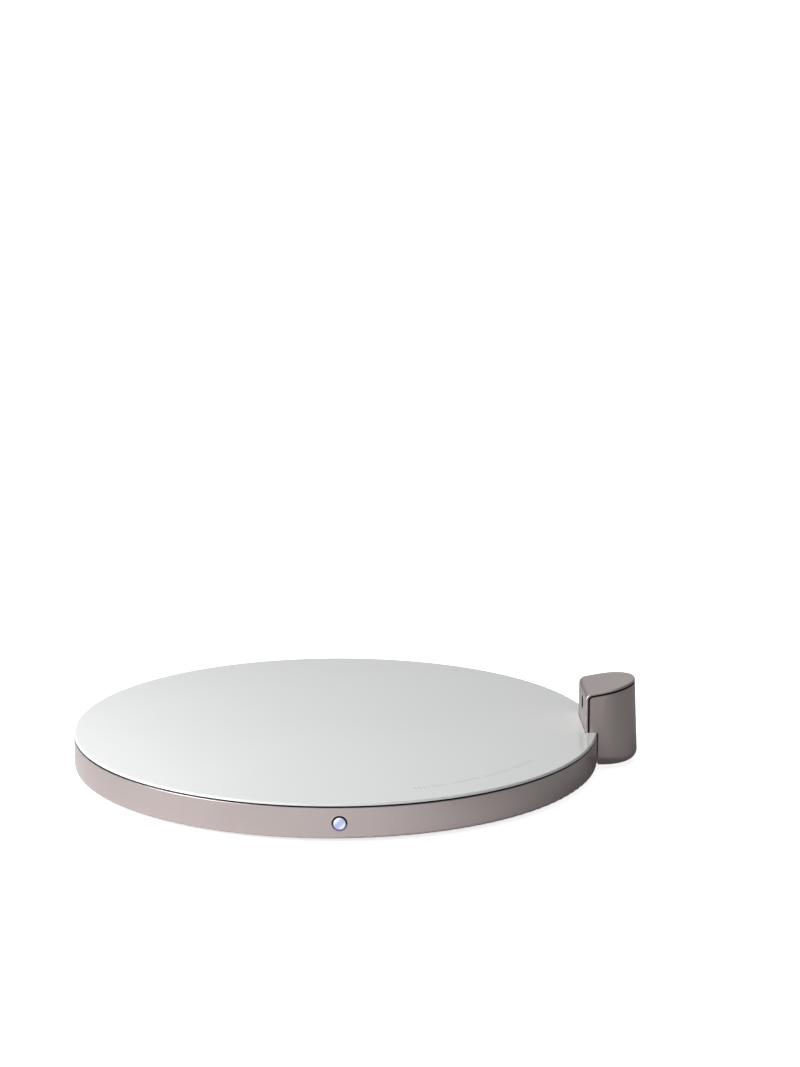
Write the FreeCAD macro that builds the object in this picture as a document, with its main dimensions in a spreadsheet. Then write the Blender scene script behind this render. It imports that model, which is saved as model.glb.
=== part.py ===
# Electric mug warmer: a round warming pad with a metal rim, a small lit push button in the rim
# and a D-shaped sensor post on its right edge.
# Frame: origin on the pad's axis, on the surface that it stands on. +X points to the post,
# -Y to the button and +Z up. All lengths are in millimetres and all angles in degrees.
import FreeCAD, Part
import Sketcher
import math
import os

Vector = FreeCAD.Vector
Rotation = FreeCAD.Rotation
Placement = FreeCAD.Placement

doc = FreeCAD.newDocument("MugWarmer")
sheet = doc.addObject("Spreadsheet::Sheet", "Sizes")
derived = doc.addObject("App::VarSet", "Derived")

# Driving sizes: alias and value
driving_sizes = [
    # the pad from the table up; each layer seats on the one before
    ("plate_radius", 52.0),
    ("foot_height", 0.8),
    ("cover_thickness", 1.2),
    ("floor_lift", 0.6),
    ("frame_floor", 0.6),
    ("shield_thickness", 0.4),
    ("ferrite_thickness", 1.1),
    ("coil_lift", 0.05),
    ("coil_wire_radius", 0.65),
    ("thermal_pad_thickness", 0.4),
    ("panel_step_height", 0.5),
    ("panel_edge_height", 0.4),
    ("seam_height", 0.35),
    # panel and seal
    ("panel_set_in", 0.05),
    ("panel_edge_round", 0.3),
    ("panel_step_clearance", 0.15),
    ("seal_set_in", 0.4),
    # rim band
    ("rim_seat_wall", 1.1),
    ("rim_wall", 1.8),
    ("rim_foot_wall", 1.3),
    ("ledge_width", 1.0),
    ("ledge_thickness", 0.6),
    ("rim_bottom_round", 0.5),
    ("rim_top_chamfer", 0.08),
    # bottom cover and rubber mat
    ("cover_clearance", 0.1),
    ("mat_inset", 3.5),
    ("mat_recess", 0.4),
    ("mat_clearance", 0.1),
    ("mat_edge_round", 0.3),
    ("grip_groove_first", 24.0),
    ("grip_groove_pitch", 7.0),
    ("grip_groove_width", 1.4),
    ("grip_groove_depth", 0.3),
    ("grip_groove_count", 3),
    # screws of the cover
    ("screw_inset", 8.0),
    ("screw_radius", 0.9),
    ("screw_clearance", 0.1),
    ("screw_head_radius", 1.7),
    ("screw_head_height", 0.5),
    ("screw_head_gap", 0.15),
    ("screw_length", 3.4),
    ("screw_drive_radius", 0.7),
    ("screw_drive_depth", 0.3),
    ("boss_wall", 1.4),
    ("cover_boss_wall", 1.0),
    # inner frame
    ("cup_inset", 17.4),
    ("cup_wall", 1.4),
    ("web_thickness", 0.8),
    ("frame_step_thickness", 0.6),
    ("frame_step_width", 2.6),
    ("frame_clearance", 0.1),
    # coil, its backing and its sensor
    ("disc_clearance", 0.4),
    ("disc_eye_radius", 3.0),
    ("coil_margin", 3.2),
    ("coil_pitch", 1.9),
    ("coil_turns", 10),
    ("coil_tail", 1.3),
    ("lead_radius", 0.4),
    ("lead_bend", 0.9),
    ("lead_slot_half_width", 0.8),
    ("lead_gate_headroom", 0.15),
    ("lead_landing", 1.6),
    ("thermistor_radius", 1.5),
    ("thermistor_height", 1.2),
    ("thermistor_clearance", 0.5),
    ("thermistor_wire_radius", 0.2),
    ("thermistor_wire_offset", 0.5),
    ("thermistor_wire_bend", 0.6),
    ("thermistor_wire_end_gap", 0.1),
    # circuit board
    ("board_thickness", 0.8),
    ("board_gap", 0.6),
    ("board_edge_gap", 0.8),
    ("board_angle", 220.0),
    ("board_notch_gap", 0.2),
    # button, its guide and its switch, placed from the rim inwards
    ("button_radius", 1.1),
    ("button_ring_gap", 0.37),
    ("button_proud", 0.15),
    ("button_front_round", 0.25),
    ("button_travel", 0.35),
    ("button_flange_overlap", 0.25),
    ("button_flange_thickness", 0.4),
    ("button_flange_slack", 0.1),
    ("button_relief", 0.2),
    ("button_stem_radius", 0.8),
    ("button_stem_clearance", 0.05),
    ("travel_margin", 0.1),
    ("guide_length", 1.3),
    ("guide_half_width", 2.2),
    ("guide_top_wall", 0.45),
    ("stem_tail", 0.75),
    ("switch_depth", 1.9),
    ("switch_half_width", 2.35),
    ("switch_half_height", 1.0),
    ("plunger_half_width", 0.7),
    ("plunger_half_height", 0.5),
    ("plunger_clearance", 0.05),
    ("plunger_grip", 0.9),
    ("led_length", 1.6),
    ("led_depth", 0.8),
    ("led_height", 0.7),
    # power inlet at the back
    ("usb_lift", 0.2),
    ("usb_half_width", 4.47),
    ("usb_half_height", 1.6),
    ("usb_depth", 7.3),
    ("usb_wall", 0.3),
    ("usb_set_in", 0.45),
    ("usb_slot_gap", 0.15),
    ("usb_block_depth", 1.6),
    ("usb_tongue_half_width", 3.35),
    ("usb_tongue_half_height", 0.35),
    ("usb_tongue_set_in", 0.8),
    # sensor post
    ("post_overlap", 2.8),
    ("post_overhang", 8.35),
    ("post_half_width", 7.6),
    ("post_rise", 7.6),
    ("post_slope", 10.5),
    ("post_draft", 2.6),
    ("post_wall", 1.0),
    ("post_lift", 0.4),
    ("post_floor", 1.6),
    ("post_bottom_round", 1.9),
    ("post_gap", 0.08),
    ("post_hug_gap", 0.2),
    ("post_seat_depth", 0.2),
    ("post_seat_gap", 0.1),
    ("cap_thickness", 0.4),
    ("cap_corner", 1.4),
    ("cap_edge_round", 0.2),
    ("post_seam", 0.4),
    ("gasket_set_in", 0.3),
    # sensor in the post
    ("window_drop", 3.3),
    ("window_radius", 1.3),
    ("window_clearance", 0.03),
    ("window_set_in", 0.03),
    ("window_thickness", 0.4),
    ("sensor_radius", 1.6),
    ("sensor_gap", 0.1),
    ("sensor_board_gap", 0.32),
    ("sensor_board_thickness", 0.8),
    ("sensor_board_half_width", 4.0),
    ("sensor_board_height", 5.6),
    ("sensor_board_headroom", 0.9),
    # bracket that ties the post to the pad
    ("bracket_lift", 0.4),
    ("tongue_thickness", 1.0),
    ("tongue_half_width", 4.0),
    ("tongue_reach_in", 6.0),
    ("bracket_block_length", 4.2),
    ("bracket_block_half_width", 4.4),
    ("upright_thickness", 1.0),
    ("rim_slot_gap", 0.2),
    ("ribbon_headroom", 0.6),
    ("bracket_screw_inset", 5.0),
    ("bracket_screw_spread", 2.7),
    ("bracket_screw_radius", 0.6),
    ("bracket_screw_head_radius", 1.2),
    ("bracket_screw_head_height", 0.45),
    ("bracket_screw_drive_radius", 0.45),
    ("post_screw_distance", 3.0),
    ("post_screw_length", 1.9),
    # ribbon and its socket
    ("ribbon_lift", 0.1),
    ("ribbon_thickness", 0.15),
    ("ribbon_half_width", 1.5),
    ("ribbon_bend", 0.6),
    ("socket_gap", 0.3),
    ("socket_length", 2.4),
    ("socket_half_width", 2.6),
    ("socket_height", 1.5),
]

# Parts soldered on the board: name, count, angle of the first from +X, angle from one to the
# next, distance from the board's inner edge, length along the radius, width across it, height
board_parts = [
    ("control_chip", 1, -64.0, 0.0, 6.4, 5.0, 5.0, 0.9),
    ("crystal", 1, -55.5, 0.0, 3.4, 2.5, 3.2, 0.7),
    ("power_transistors", 4, 13.0, 6.0, 6.2, 3.3, 3.3, 1.0),
    ("tuning_capacitors", 4, -33.0, 6.4, 5.8, 3.2, 2.5, 2.0),
    ("power_inductor", 1, 66.0, 0.0, 6.4, 5.0, 5.0, 2.2),
    ("inlet_chip", 1, 76.5, 0.0, 5.4, 4.0, 4.0, 0.8),
    ("small_capacitors", 7, 56.0, 8.2, 2.0, 1.6, 0.8, 0.8),
]


# Writes the driving sizes and the board's parts into the sheet.
def fill_sheet():
    rows = list(driving_sizes)
    for name, count, angle, step_angle, inset, length, width, height in board_parts:
        rows.append((name + "_count", count))
        rows.append((name + "_angle", angle))
        rows.append((name + "_step_angle", step_angle))
        rows.append((name + "_inset", inset))
        rows.append((name + "_length", length))
        rows.append((name + "_width", width))
        rows.append((name + "_height", height))
    for number, (alias, value) in enumerate(rows, start=1):
        sheet.set("A%d" % number, alias)
        sheet.set("B%d" % number, str(value))
        sheet.setAlias("B%d" % number, alias)
    doc.recompute()
    return [alias for alias, value in rows]


size_names = fill_sheet()


# Full name of a size or a derived value, as an expression uses it.
def ref(name):
    owner = "Sizes" if name in size_names else "Derived"
    return owner + "." + name


# Present value of a size or a derived value.
def value(name):
    if name == "0":
        return 0.0
    if name.startswith("-"):
        return -value(name[1:])
    holder = sheet if name in size_names else derived
    return float(getattr(holder, name))


# Adds a value worked out from the sizes. The formula names sizes and earlier derived values.
def derive(name, formula):
    words = []
    for word in formula.split():
        plain = word.strip("()")
        known = plain in size_names or hasattr(derived, plain)
        words.append(word.replace(plain, ref(plain)) if plain and known else word)
    derived.addProperty("App::PropertyFloat", name)
    derived.setExpression(name, " ".join(words))


# levels from the table up
derive("cover_top", "foot_height + cover_thickness")
derive("cover_recess", "foot_height + mat_recess")
derive("floor_under", "cover_top + floor_lift")
derive("floor_top", "floor_under + frame_floor")
derive("shield_top", "floor_top + shield_thickness")
derive("ferrite_top", "shield_top + ferrite_thickness")
derive("coil_level", "ferrite_top + coil_lift + coil_wire_radius")
derive("pad_under", "coil_level + coil_wire_radius + coil_lift")
derive("panel_under", "pad_under + thermal_pad_thickness")
derive("flange_under", "panel_under + panel_step_height")
derive("panel_top", "flange_under + panel_edge_height")
derive("rim_top", "flange_under - seam_height")
derive("ledge_under", "panel_under - ledge_thickness")
derive("web_under", "panel_under - web_thickness")
derive("frame_step_under", "ledge_under - frame_step_thickness")
derive("board_top", "cover_top + board_thickness")
# radii of the pad
derive("panel_radius", "plate_radius - panel_set_in")
derive("rim_seat_radius", "plate_radius - rim_seat_wall")
derive("panel_step_radius", "rim_seat_radius - panel_step_clearance")
derive("rim_inner_radius", "plate_radius - rim_wall")
derive("rim_foot_radius", "plate_radius - rim_foot_wall")
derive("ledge_radius", "rim_inner_radius - ledge_width")
derive("seal_radius", "plate_radius - seal_set_in")
derive("cover_radius", "rim_foot_radius - cover_clearance")
derive("mat_radius", "plate_radius - mat_inset")
derive("recess_radius", "mat_radius + mat_clearance")
derive("cup_radius", "plate_radius - cup_inset")
derive("cup_outer_radius", "cup_radius + cup_wall")
derive("web_radius", "ledge_radius - frame_clearance")
derive("frame_radius", "rim_inner_radius - frame_clearance")
derive("frame_step_radius", "frame_radius - frame_step_width")
derive("disc_radius", "cup_radius - disc_clearance")
derive("coil_outer_radius", "disc_radius - coil_margin")
derive("coil_inner_radius", "coil_outer_radius - coil_turns * coil_pitch")
derive("board_inner_radius", "cup_outer_radius + board_gap")
derive("board_outer_radius", "rim_inner_radius - board_edge_gap")
# screws of the cover
derive("screw_offset", "( plate_radius - screw_inset ) * cos( 45 )")
derive("screw_hole_radius", "screw_radius + screw_clearance")
derive("head_recess_radius", "screw_head_radius + screw_head_gap")
derive("head_recess_top", "cover_recess + screw_head_height + screw_head_gap")
derive("head_seat", "head_recess_top - screw_head_height")
derive("screw_tip", "head_recess_top + screw_length")
derive("boss_radius", "screw_hole_radius + boss_wall")
derive("cover_boss_radius", "head_recess_radius + cover_boss_wall")
derive("board_hole_radius", "cover_boss_radius + board_notch_gap")
derive("bracket_head_recess_radius", "bracket_screw_head_radius + screw_head_gap")
derive("bracket_head_recess_top", "cover_recess + bracket_screw_head_height + screw_head_gap")
derive("bracket_head_seat", "bracket_head_recess_top - bracket_screw_head_height")
derive("bracket_hole_radius", "bracket_screw_radius + screw_clearance")
# button row, distances from the pad's axis
derive("button_level", "( foot_height + rim_top ) / 2")
derive("button_hole_radius", "button_radius + button_ring_gap")
derive("button_flange_radius", "button_hole_radius + button_flange_overlap")
derive("button_relief_radius", "button_flange_radius + button_relief")
derive("button_front", "plate_radius + button_proud")
derive("flange_front", "rim_inner_radius - button_flange_slack")
derive("flange_back", "flange_front - button_flange_thickness")
derive("guide_front", "flange_back - button_travel - travel_margin")
derive("guide_back", "guide_front - guide_length")
derive("guide_bore_radius", "button_stem_radius + button_stem_clearance")
derive("guide_height", "button_level + guide_bore_radius + guide_top_wall - cover_top")
derive("stem_end", "guide_back - stem_tail")
derive("switch_front", "stem_end - button_travel - travel_margin")
derive("switch_back", "switch_front - switch_depth")
derive("plunger_back", "switch_front - plunger_grip")
derive("switch_hollow_back", "plunger_back - button_travel - travel_margin")
derive("switch_height", "button_level + switch_half_height - board_top")
# power inlet
derive("usb_level", "cover_top + usb_lift + usb_half_height")
derive("usb_mouth", "plate_radius - usb_set_in")
derive("usb_back", "usb_mouth - usb_depth")
derive("usb_block_front", "usb_back + usb_wall + usb_block_depth")
derive("usb_flat", "usb_half_width - usb_half_height")
derive("usb_inner_radius", "usb_half_height - usb_wall")
derive("usb_slot_radius", "usb_half_height + usb_slot_gap")
derive("usb_slot_end", "usb_flat + usb_slot_radius")
# post
derive("post_inner", "plate_radius - post_overlap")
derive("post_reach", "plate_radius + post_overhang")
derive("post_top", "panel_top + post_rise")
derive("post_nose", "post_reach - post_half_width")
derive("post_start", "post_inner - 2 * post_wall")
derive("post_height", "post_top + ( post_reach - post_inner ) * tan( post_slope ) - post_lift + post_wall")
derive("post_ceiling", "post_lift + post_height")
derive("post_seat_level", "panel_top - post_seat_depth")
derive("post_foot_level", "post_seat_level + post_gap")
derive("post_seat_inner", "post_inner - post_seat_gap")
derive("post_seat_half_width",
       "post_half_width + post_seat_gap - ( post_foot_level - post_lift ) * tan( post_draft )")
derive("post_hug_radius", "plate_radius + post_hug_gap")
derive("post_floor_top", "post_lift + post_floor")
derive("post_inside_half_width", "post_half_width - post_wall")
derive("shell_face", "cap_thickness + post_seam")
derive("gasket_half_width", "post_half_width - gasket_set_in")
derive("post_far", "post_reach + post_wall")
# bracket and sensor
derive("tongue_under", "cover_top + bracket_lift")
derive("tongue_top", "tongue_under + tongue_thickness")
derive("tongue_inner", "rim_inner_radius - tongue_reach_in")
derive("bracket_back", "post_hug_radius + bracket_block_length")
derive("bracket_screw_x", "rim_inner_radius - bracket_screw_inset")
derive("bracket_pad_half_width", "tongue_half_width + board_notch_gap / 2")
derive("tongue_gate_half_width", "tongue_half_width + rim_slot_gap")
derive("post_screw_x", "post_hug_radius + post_screw_distance")
derive("post_head_top", "foot_height + screw_head_height + screw_head_gap")
derive("post_screw_tip", "post_head_top + post_screw_length")
derive("window_level", "post_top - window_drop")
derive("sensor_board_front", "post_hug_radius + sensor_board_gap")
derive("sensor_board_back", "sensor_board_front + sensor_board_thickness")
derive("upright_back", "sensor_board_back + upright_thickness")
derive("sensor_board_top", "post_top - sensor_board_headroom")
derive("sensor_board_under", "sensor_board_top - sensor_board_height")
derive("ribbon_under", "tongue_top + ribbon_lift")
derive("ribbon_top", "ribbon_under + ribbon_thickness")
derive("ribbon_gate_under", "tongue_under - rim_slot_gap")
derive("ribbon_gate_top", "ribbon_top + ribbon_headroom")
derive("socket_outer", "tongue_inner - socket_gap")
derive("ribbon_back", "sensor_board_front - ribbon_thickness")
derive("boss_height", "web_under - floor_under")
derive("boss_hole_depth", "screw_tip - floor_under + screw_clearance")
derive("inlet_relief_top", "usb_level + usb_slot_radius")
derive("lead_gate_half_width", "coil_tail + lead_slot_half_width")
derive("lead_gate_top", "coil_level + lead_radius + lead_gate_headroom")
derive("lead_slot_near", "coil_tail - lead_slot_half_width")
derive("lead_slot_far", "coil_tail + lead_slot_half_width")
derive("pad_eye_radius", "thermistor_radius + thermistor_clearance")
derive("thermistor_under", "panel_under - thermistor_height")
derive("inlet_notch_half_width", "usb_half_width + board_notch_gap")
derive("inlet_notch_inner", "usb_back - board_notch_gap")
derive("bracket_notch_half_width", "tongue_half_width + board_notch_gap")
derive("bracket_notch_inner", "tongue_inner - board_notch_gap")
derive("guide_notch_half_width", "guide_half_width + board_notch_gap")
derive("guide_notch_inner", "guide_back - board_notch_gap")
derive("usb_hollow_depth", "usb_depth - usb_wall")
derive("usb_bed", "usb_back + usb_wall")
derive("usb_block_low", "usb_level - usb_inner_radius")
derive("usb_block_high", "usb_level + usb_inner_radius")
derive("usb_tongue_low", "usb_level - usb_tongue_half_height")
derive("usb_tongue_high", "usb_level + usb_tongue_half_height")
derive("usb_tongue_end", "usb_mouth - usb_tongue_set_in")
derive("guide_top", "cover_top + guide_height")
derive("switch_top", "board_top + switch_height")
derive("hollow_half_width", "plunger_half_width + plunger_clearance")
derive("hollow_low", "button_level - plunger_half_height - plunger_clearance")
derive("hollow_high", "button_level + plunger_half_height + plunger_clearance")
derive("plunger_low", "button_level - plunger_half_height")
derive("plunger_high", "button_level + plunger_half_height")
derive("led_near", "guide_notch_half_width + board_notch_gap")
derive("led_far", "led_near + led_length")
derive("led_front", "board_outer_radius - board_notch_gap")
derive("led_back", "led_front - led_depth")
derive("led_top", "board_top + led_height")
derive("post_head_radius", "screw_head_radius + screw_head_gap")
derive("window_front", "post_inner + window_set_in")
derive("window_back", "window_front + window_thickness")
derive("window_disc_radius", "window_radius - window_clearance")
derive("sensor_front", "post_inner + cap_thickness + sensor_gap")
derive("post_hole_top", "post_screw_tip + screw_clearance")
derive("post_head_seat", "post_head_top - screw_head_height")
derive("ribbon_width", "ribbon_half_width * 2")
derive("ribbon_outer_bend", "ribbon_bend + ribbon_thickness")
derive("socket_inner", "socket_outer - socket_length")
derive("socket_top", "board_top + socket_height")
derive("post_begin", "post_start - post_wall")
derive("sky", "post_ceiling + post_wall")
derive("foot_cut", "post_lift / 2")
derive("post_cavity_height", "post_ceiling - post_floor_top")
derive("bend_x", "post_inner + cap_corner")
derive("bend_level", "post_top + cap_corner * tan( post_slope ) - cap_corner / cos( post_slope )")
# grip grooves of the mat, from the inside out
for number in range(int(sheet.grip_groove_count)):
    derive("grip_groove_%d_inner" % number, "grip_groove_first + grip_groove_pitch * %d" % number)
    derive("grip_groove_%d_outer" % number, "grip_groove_%d_inner + grip_groove_width" % number)
# the post's bent surface at three depths: a line up the flat face and then along the slope
for key, depth in (("cap_outer", "0"), ("cap_inner", "cap_thickness"), ("seam_low", "shell_face")):
    derive(key + "_x", "post_inner + " + depth)
    derive(key + "_bend", "cap_corner - " + depth)
    derive(key + "_far",
           "post_top + ( post_far - post_inner ) * tan( post_slope ) - %s / cos( post_slope )" % depth)
doc.recompute()

node_objects = []


# Names a finished sub-part, which gives its file's name.
def finish(item, label):
    item.Label = label
    node_objects.append(item)
    return item


# One of a body's own origin planes.
def origin_plane(body, role):
    return [item for item in body.Origin.OriginFeatures if item.Role == role][0]


# A sketch on an origin plane of its body, moved along the plane's normal by a named value.
def new_sketch(body, role="XZ_Plane", level=None):
    sketch = body.newObject("Sketcher::SketchObject", body.Name + "Sketch")
    sketch.AttachmentSupport = [(origin_plane(body, role), "")]
    sketch.MapMode = "FlatFace"
    if level:
        sign = "-" if level.startswith("-") else ""
        sketch.setExpression("AttachmentOffset.Base.z", sign + ref(level.lstrip("-")))
    return sketch


# Ties one coordinate of a sketch point to a named value; a leading minus mirrors it.
def tie(sketch, kind, item, point, name):
    if name == "0":
        axis = -2 if kind == "DistanceX" else -1
        sketch.addConstraint(Sketcher.Constraint("PointOnObject", item, point, axis))
        return
    length = abs(value(name))
    if name.startswith("-"):
        link = Sketcher.Constraint(kind, item, point, -1, 1, length)
    else:
        link = Sketcher.Constraint(kind, -1, 1, item, point, length)
    number = sketch.addConstraint(link)
    sketch.setExpression("Constraints[%d]" % number, ref(name.lstrip("-")))


# A closed outline of straight lines through named corners.
def outline(sketch, corners):
    spots = [Vector(value(x), value(y), 0) for x, y in corners]
    first = sketch.GeometryCount
    total = len(spots)
    for number, spot in enumerate(spots):
        sketch.addGeometry(Part.LineSegment(spot, spots[(number + 1) % total]), False)
    for number, (x, y) in enumerate(corners):
        after = first + (number + 1) % total
        sketch.addConstraint(Sketcher.Constraint("Coincident", first + number, 2, after, 1))
        tie(sketch, "DistanceX", first + number, 1, x)
        tie(sketch, "DistanceY", first + number, 1, y)
    return sketch


# A circle with a named centre and radius.
def circle(sketch, x, y, radius):
    middle = Vector(value(x), value(y), 0)
    item = sketch.addGeometry(Part.Circle(middle, Vector(0, 0, 1), value(radius)), False)
    tie(sketch, "DistanceX", item, 3, x)
    tie(sketch, "DistanceY", item, 3, y)
    number = sketch.addConstraint(Sketcher.Constraint("Radius", item, value(radius)))
    sketch.setExpression("Constraints[%d]" % number, ref(radius))
    return sketch


# A line between two sketch points that carries on from the item before it.
def add_line(sketch, start, end):
    return sketch.addGeometry(Part.LineSegment(start, end), False)


# A D: flat at x = start, two straight sides and a half-round nose centred at x = nose.
def d_outline(sketch, start, nose, half_width):
    x0, x1, side = value(start), value(nose), value(half_width)
    flat = add_line(sketch, Vector(x0, side, 0), Vector(x0, -side, 0))
    lower = add_line(sketch, Vector(x0, -side, 0), Vector(x1, -side, 0))
    round_nose = Part.Circle(Vector(x1, 0, 0), Vector(0, 0, 1), side)
    arc = sketch.addGeometry(Part.ArcOfCircle(round_nose, -math.pi / 2, math.pi / 2), False)
    upper = add_line(sketch, Vector(x1, side, 0), Vector(x0, side, 0))
    ends = [(flat, 2, lower, 1), (lower, 2, arc, 1), (arc, 2, upper, 1), (upper, 2, flat, 1)]
    for one, one_end, other, other_end in ends:
        sketch.addConstraint(Sketcher.Constraint("Coincident", one, one_end, other, other_end))
    tie(sketch, "DistanceX", flat, 1, start)
    tie(sketch, "DistanceY", flat, 1, half_width)
    tie(sketch, "DistanceX", flat, 2, start)
    tie(sketch, "DistanceY", flat, 2, "-" + half_width)
    tie(sketch, "DistanceX", lower, 2, nose)
    tie(sketch, "DistanceY", lower, 2, "-" + half_width)
    tie(sketch, "DistanceX", upper, 1, nose)
    tie(sketch, "DistanceY", upper, 1, half_width)
    tie(sketch, "DistanceX", arc, 3, nose)
    return sketch


# A slot with half-round ends, centred on the sketch's vertical axis.
def slot_outline(sketch, flat, radius, level):
    end, size, middle = value(flat), value(radius), value(level)
    low, high = middle - size, middle + size
    bottom = add_line(sketch, Vector(-end, low, 0), Vector(end, low, 0))
    right = Part.Circle(Vector(end, middle, 0), Vector(0, 0, 1), size)
    right_arc = sketch.addGeometry(Part.ArcOfCircle(right, -math.pi / 2, math.pi / 2), False)
    top = add_line(sketch, Vector(end, high, 0), Vector(-end, high, 0))
    left = Part.Circle(Vector(-end, middle, 0), Vector(0, 0, 1), size)
    left_arc = sketch.addGeometry(Part.ArcOfCircle(left, math.pi / 2, 3 * math.pi / 2), False)
    sketch.addConstraint(Sketcher.Constraint("Tangent", bottom, 2, right_arc, 1))
    sketch.addConstraint(Sketcher.Constraint("Tangent", right_arc, 2, top, 1))
    sketch.addConstraint(Sketcher.Constraint("Tangent", top, 2, left_arc, 1))
    sketch.addConstraint(Sketcher.Constraint("Coincident", left_arc, 2, bottom, 1))
    sketch.addConstraint(Sketcher.Constraint("Horizontal", bottom))
    tie(sketch, "DistanceX", right_arc, 3, flat)
    tie(sketch, "DistanceY", right_arc, 3, level)
    tie(sketch, "DistanceX", left_arc, 3, "-" + flat)
    tie(sketch, "DistanceY", left_arc, 3, level)
    number = sketch.addConstraint(Sketcher.Constraint("Radius", right_arc, size))
    sketch.setExpression("Constraints[%d]" % number, ref(radius))
    return sketch


# A new, empty body.
def new_body(name):
    return doc.addObject("PartDesign::Body", name)


# Turns a sketch on the XZ plane round the vertical axis.
def revolve(body, sketch, kind="PartDesign::Revolution"):
    turned = body.newObject(kind, body.Name + "Turned")
    turned.Profile = sketch
    turned.ReferenceAxis = (sketch, ["V_Axis"])
    turned.Angle = 360.0
    doc.recompute()
    return turned


# Pads or pockets a sketch; the length is a name, or None to go through all.
def extrude(body, sketch, length=None, cut=False, both=False, back=False):
    kind = "PartDesign::Pocket" if cut else "PartDesign::Pad"
    before = body.Shape.Volume if cut else 0.0
    item = body.newObject(kind, body.Name + ("Cut" if cut else "Pad"))
    item.Profile = sketch
    if length:
        item.Type = "Length"
        item.setExpression("Length", ref(length))
    else:
        item.Type = "ThroughAll"
    if both:
        item.SideType = "Symmetric"
    item.Reversed = back
    doc.recompute()
    if cut and not body.Shape.Volume < before:
        raise ValueError(item.Name + " cuts nothing")
    return item


# Rounds or chamfers the edges that a test picks from the body's present shape.
def soften(body, picks, size, kind="PartDesign::Fillet"):
    base = body.Tip
    names = []
    for number, edge in enumerate(base.Shape.Edges, start=1):
        if picks(edge):
            names.append("Edge%d" % number)
    if not names:
        raise ValueError(body.Name + " has no such edge")
    item = body.newObject(kind, body.Name + "Soft")
    item.Base = (base, names)
    item.setExpression("Radius" if kind == "PartDesign::Fillet" else "Size", ref(size))
    doc.recompute()
    return item


# True for a full circle of the named radius at the named level.
def is_ring(edge, radius, level):
    if not isinstance(edge.Curve, Part.Circle):
        return False
    middle = edge.Curve.Center
    same_place = abs(middle.z - value(level)) < 1e-4 and math.hypot(middle.x, middle.y) < 1e-4
    return same_place and abs(edge.Curve.Radius - value(radius)) < 1e-4


# Binds a placement's base to three formulas.
def place(item, x, y, z):
    for axis, formula in (("x", x), ("y", y), ("z", z)):
        item.setExpression("Placement.Base." + axis, formula)
    return item


# An expression for a signed name, so that "-name" and "0" can be used as coordinates.
def signed(name):
    if name == "0":
        return "0"
    return "-" + ref(name[1:]) if name.startswith("-") else ref(name)


# A box between two named corners.
def block(name, low, high):
    item = doc.addObject("Part::Box", name)
    for side, start, end in zip(("Length", "Width", "Height"), low, high):
        item.setExpression(side, signed(end) + " - (" + signed(start) + ")")
    return place(item, *[signed(corner) for corner in low])


# A vertical cylinder between two named levels.
def upright_rod(name, x, y, low, high, radius):
    item = doc.addObject("Part::Cylinder", name)
    item.setExpression("Radius", ref(radius))
    item.setExpression("Height", signed(high) + " - (" + signed(low) + ")")
    return place(item, signed(x), signed(y), signed(low))


# A cylinder along +X or +Y between two named distances.
def level_rod(name, axis, across, level, low, high, radius):
    item = doc.addObject("Part::Cylinder", name)
    item.setExpression("Radius", ref(radius))
    item.setExpression("Height", signed(high) + " - (" + signed(low) + ")")
    if axis == "X":
        item.Placement = Placement(Vector(), Rotation(Vector(0, 1, 0), 90))
        return place(item, signed(low), signed(across), signed(level))
    item.Placement = Placement(Vector(), Rotation(Vector(1, 0, 0), -90))
    return place(item, signed(across), signed(low), signed(level))


# Base minus tools.
def cut_away(name, base, tools):
    tool = tools[0]
    if len(tools) > 1:
        tool = doc.addObject("Part::MultiFuse", name + "Tools")
        tool.Shapes = tools
    item = doc.addObject("Part::Cut", name)
    item.Base = base
    item.Tool = tool
    return item


# Several solids joined into one.
def join(name, items):
    item = doc.addObject("Part::MultiFuse", name)
    item.Shapes = items
    return item


# Several separate solids that share one node.
def group(name, items):
    item = doc.addObject("Part::Compound", name)
    item.Links = items
    return item


# Centres of the four screws of the cover.
screw_places = [("screw_offset", "screw_offset"), ("-screw_offset", "screw_offset"),
                ("-screw_offset", "-screw_offset"), ("screw_offset", "-screw_offset")]
bracket_screw_places = [("bracket_screw_x", "bracket_screw_spread"),
                        ("bracket_screw_x", "-bracket_screw_spread")]


# White glossy panel with a rounded edge, a step that locates it in the rim and a shallow seat
# for the post's foot.
def make_top_panel():
    body = new_body("TopPanel")
    sketch = outline(new_sketch(body), [
        ("0", "panel_under"), ("panel_step_radius", "panel_under"),
        ("panel_step_radius", "flange_under"), ("panel_radius", "flange_under"),
        ("panel_radius", "panel_top"), ("0", "panel_top")])
    revolve(body, sketch)
    soften(body, lambda edge: is_ring(edge, "panel_radius", "panel_top"), "panel_edge_round")
    seat = outline(new_sketch(body, "XY_Plane", "panel_top"), [
        ("post_seat_inner", "-post_seat_half_width"), ("post_far", "-post_seat_half_width"),
        ("post_far", "post_seat_half_width"), ("post_seat_inner", "post_seat_half_width")])
    extrude(body, seat, "post_seat_depth", cut=True)
    finish(body, "top_panel")


# Black ring in the seam between panel and rim.
def make_panel_seal():
    body = new_body("PanelSeal")
    sketch = outline(new_sketch(body), [
        ("rim_seat_radius", "rim_top"), ("seal_radius", "rim_top"),
        ("seal_radius", "flange_under"), ("rim_seat_radius", "flange_under")])
    revolve(body, sketch)
    finish(body, "panel_seal")


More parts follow.
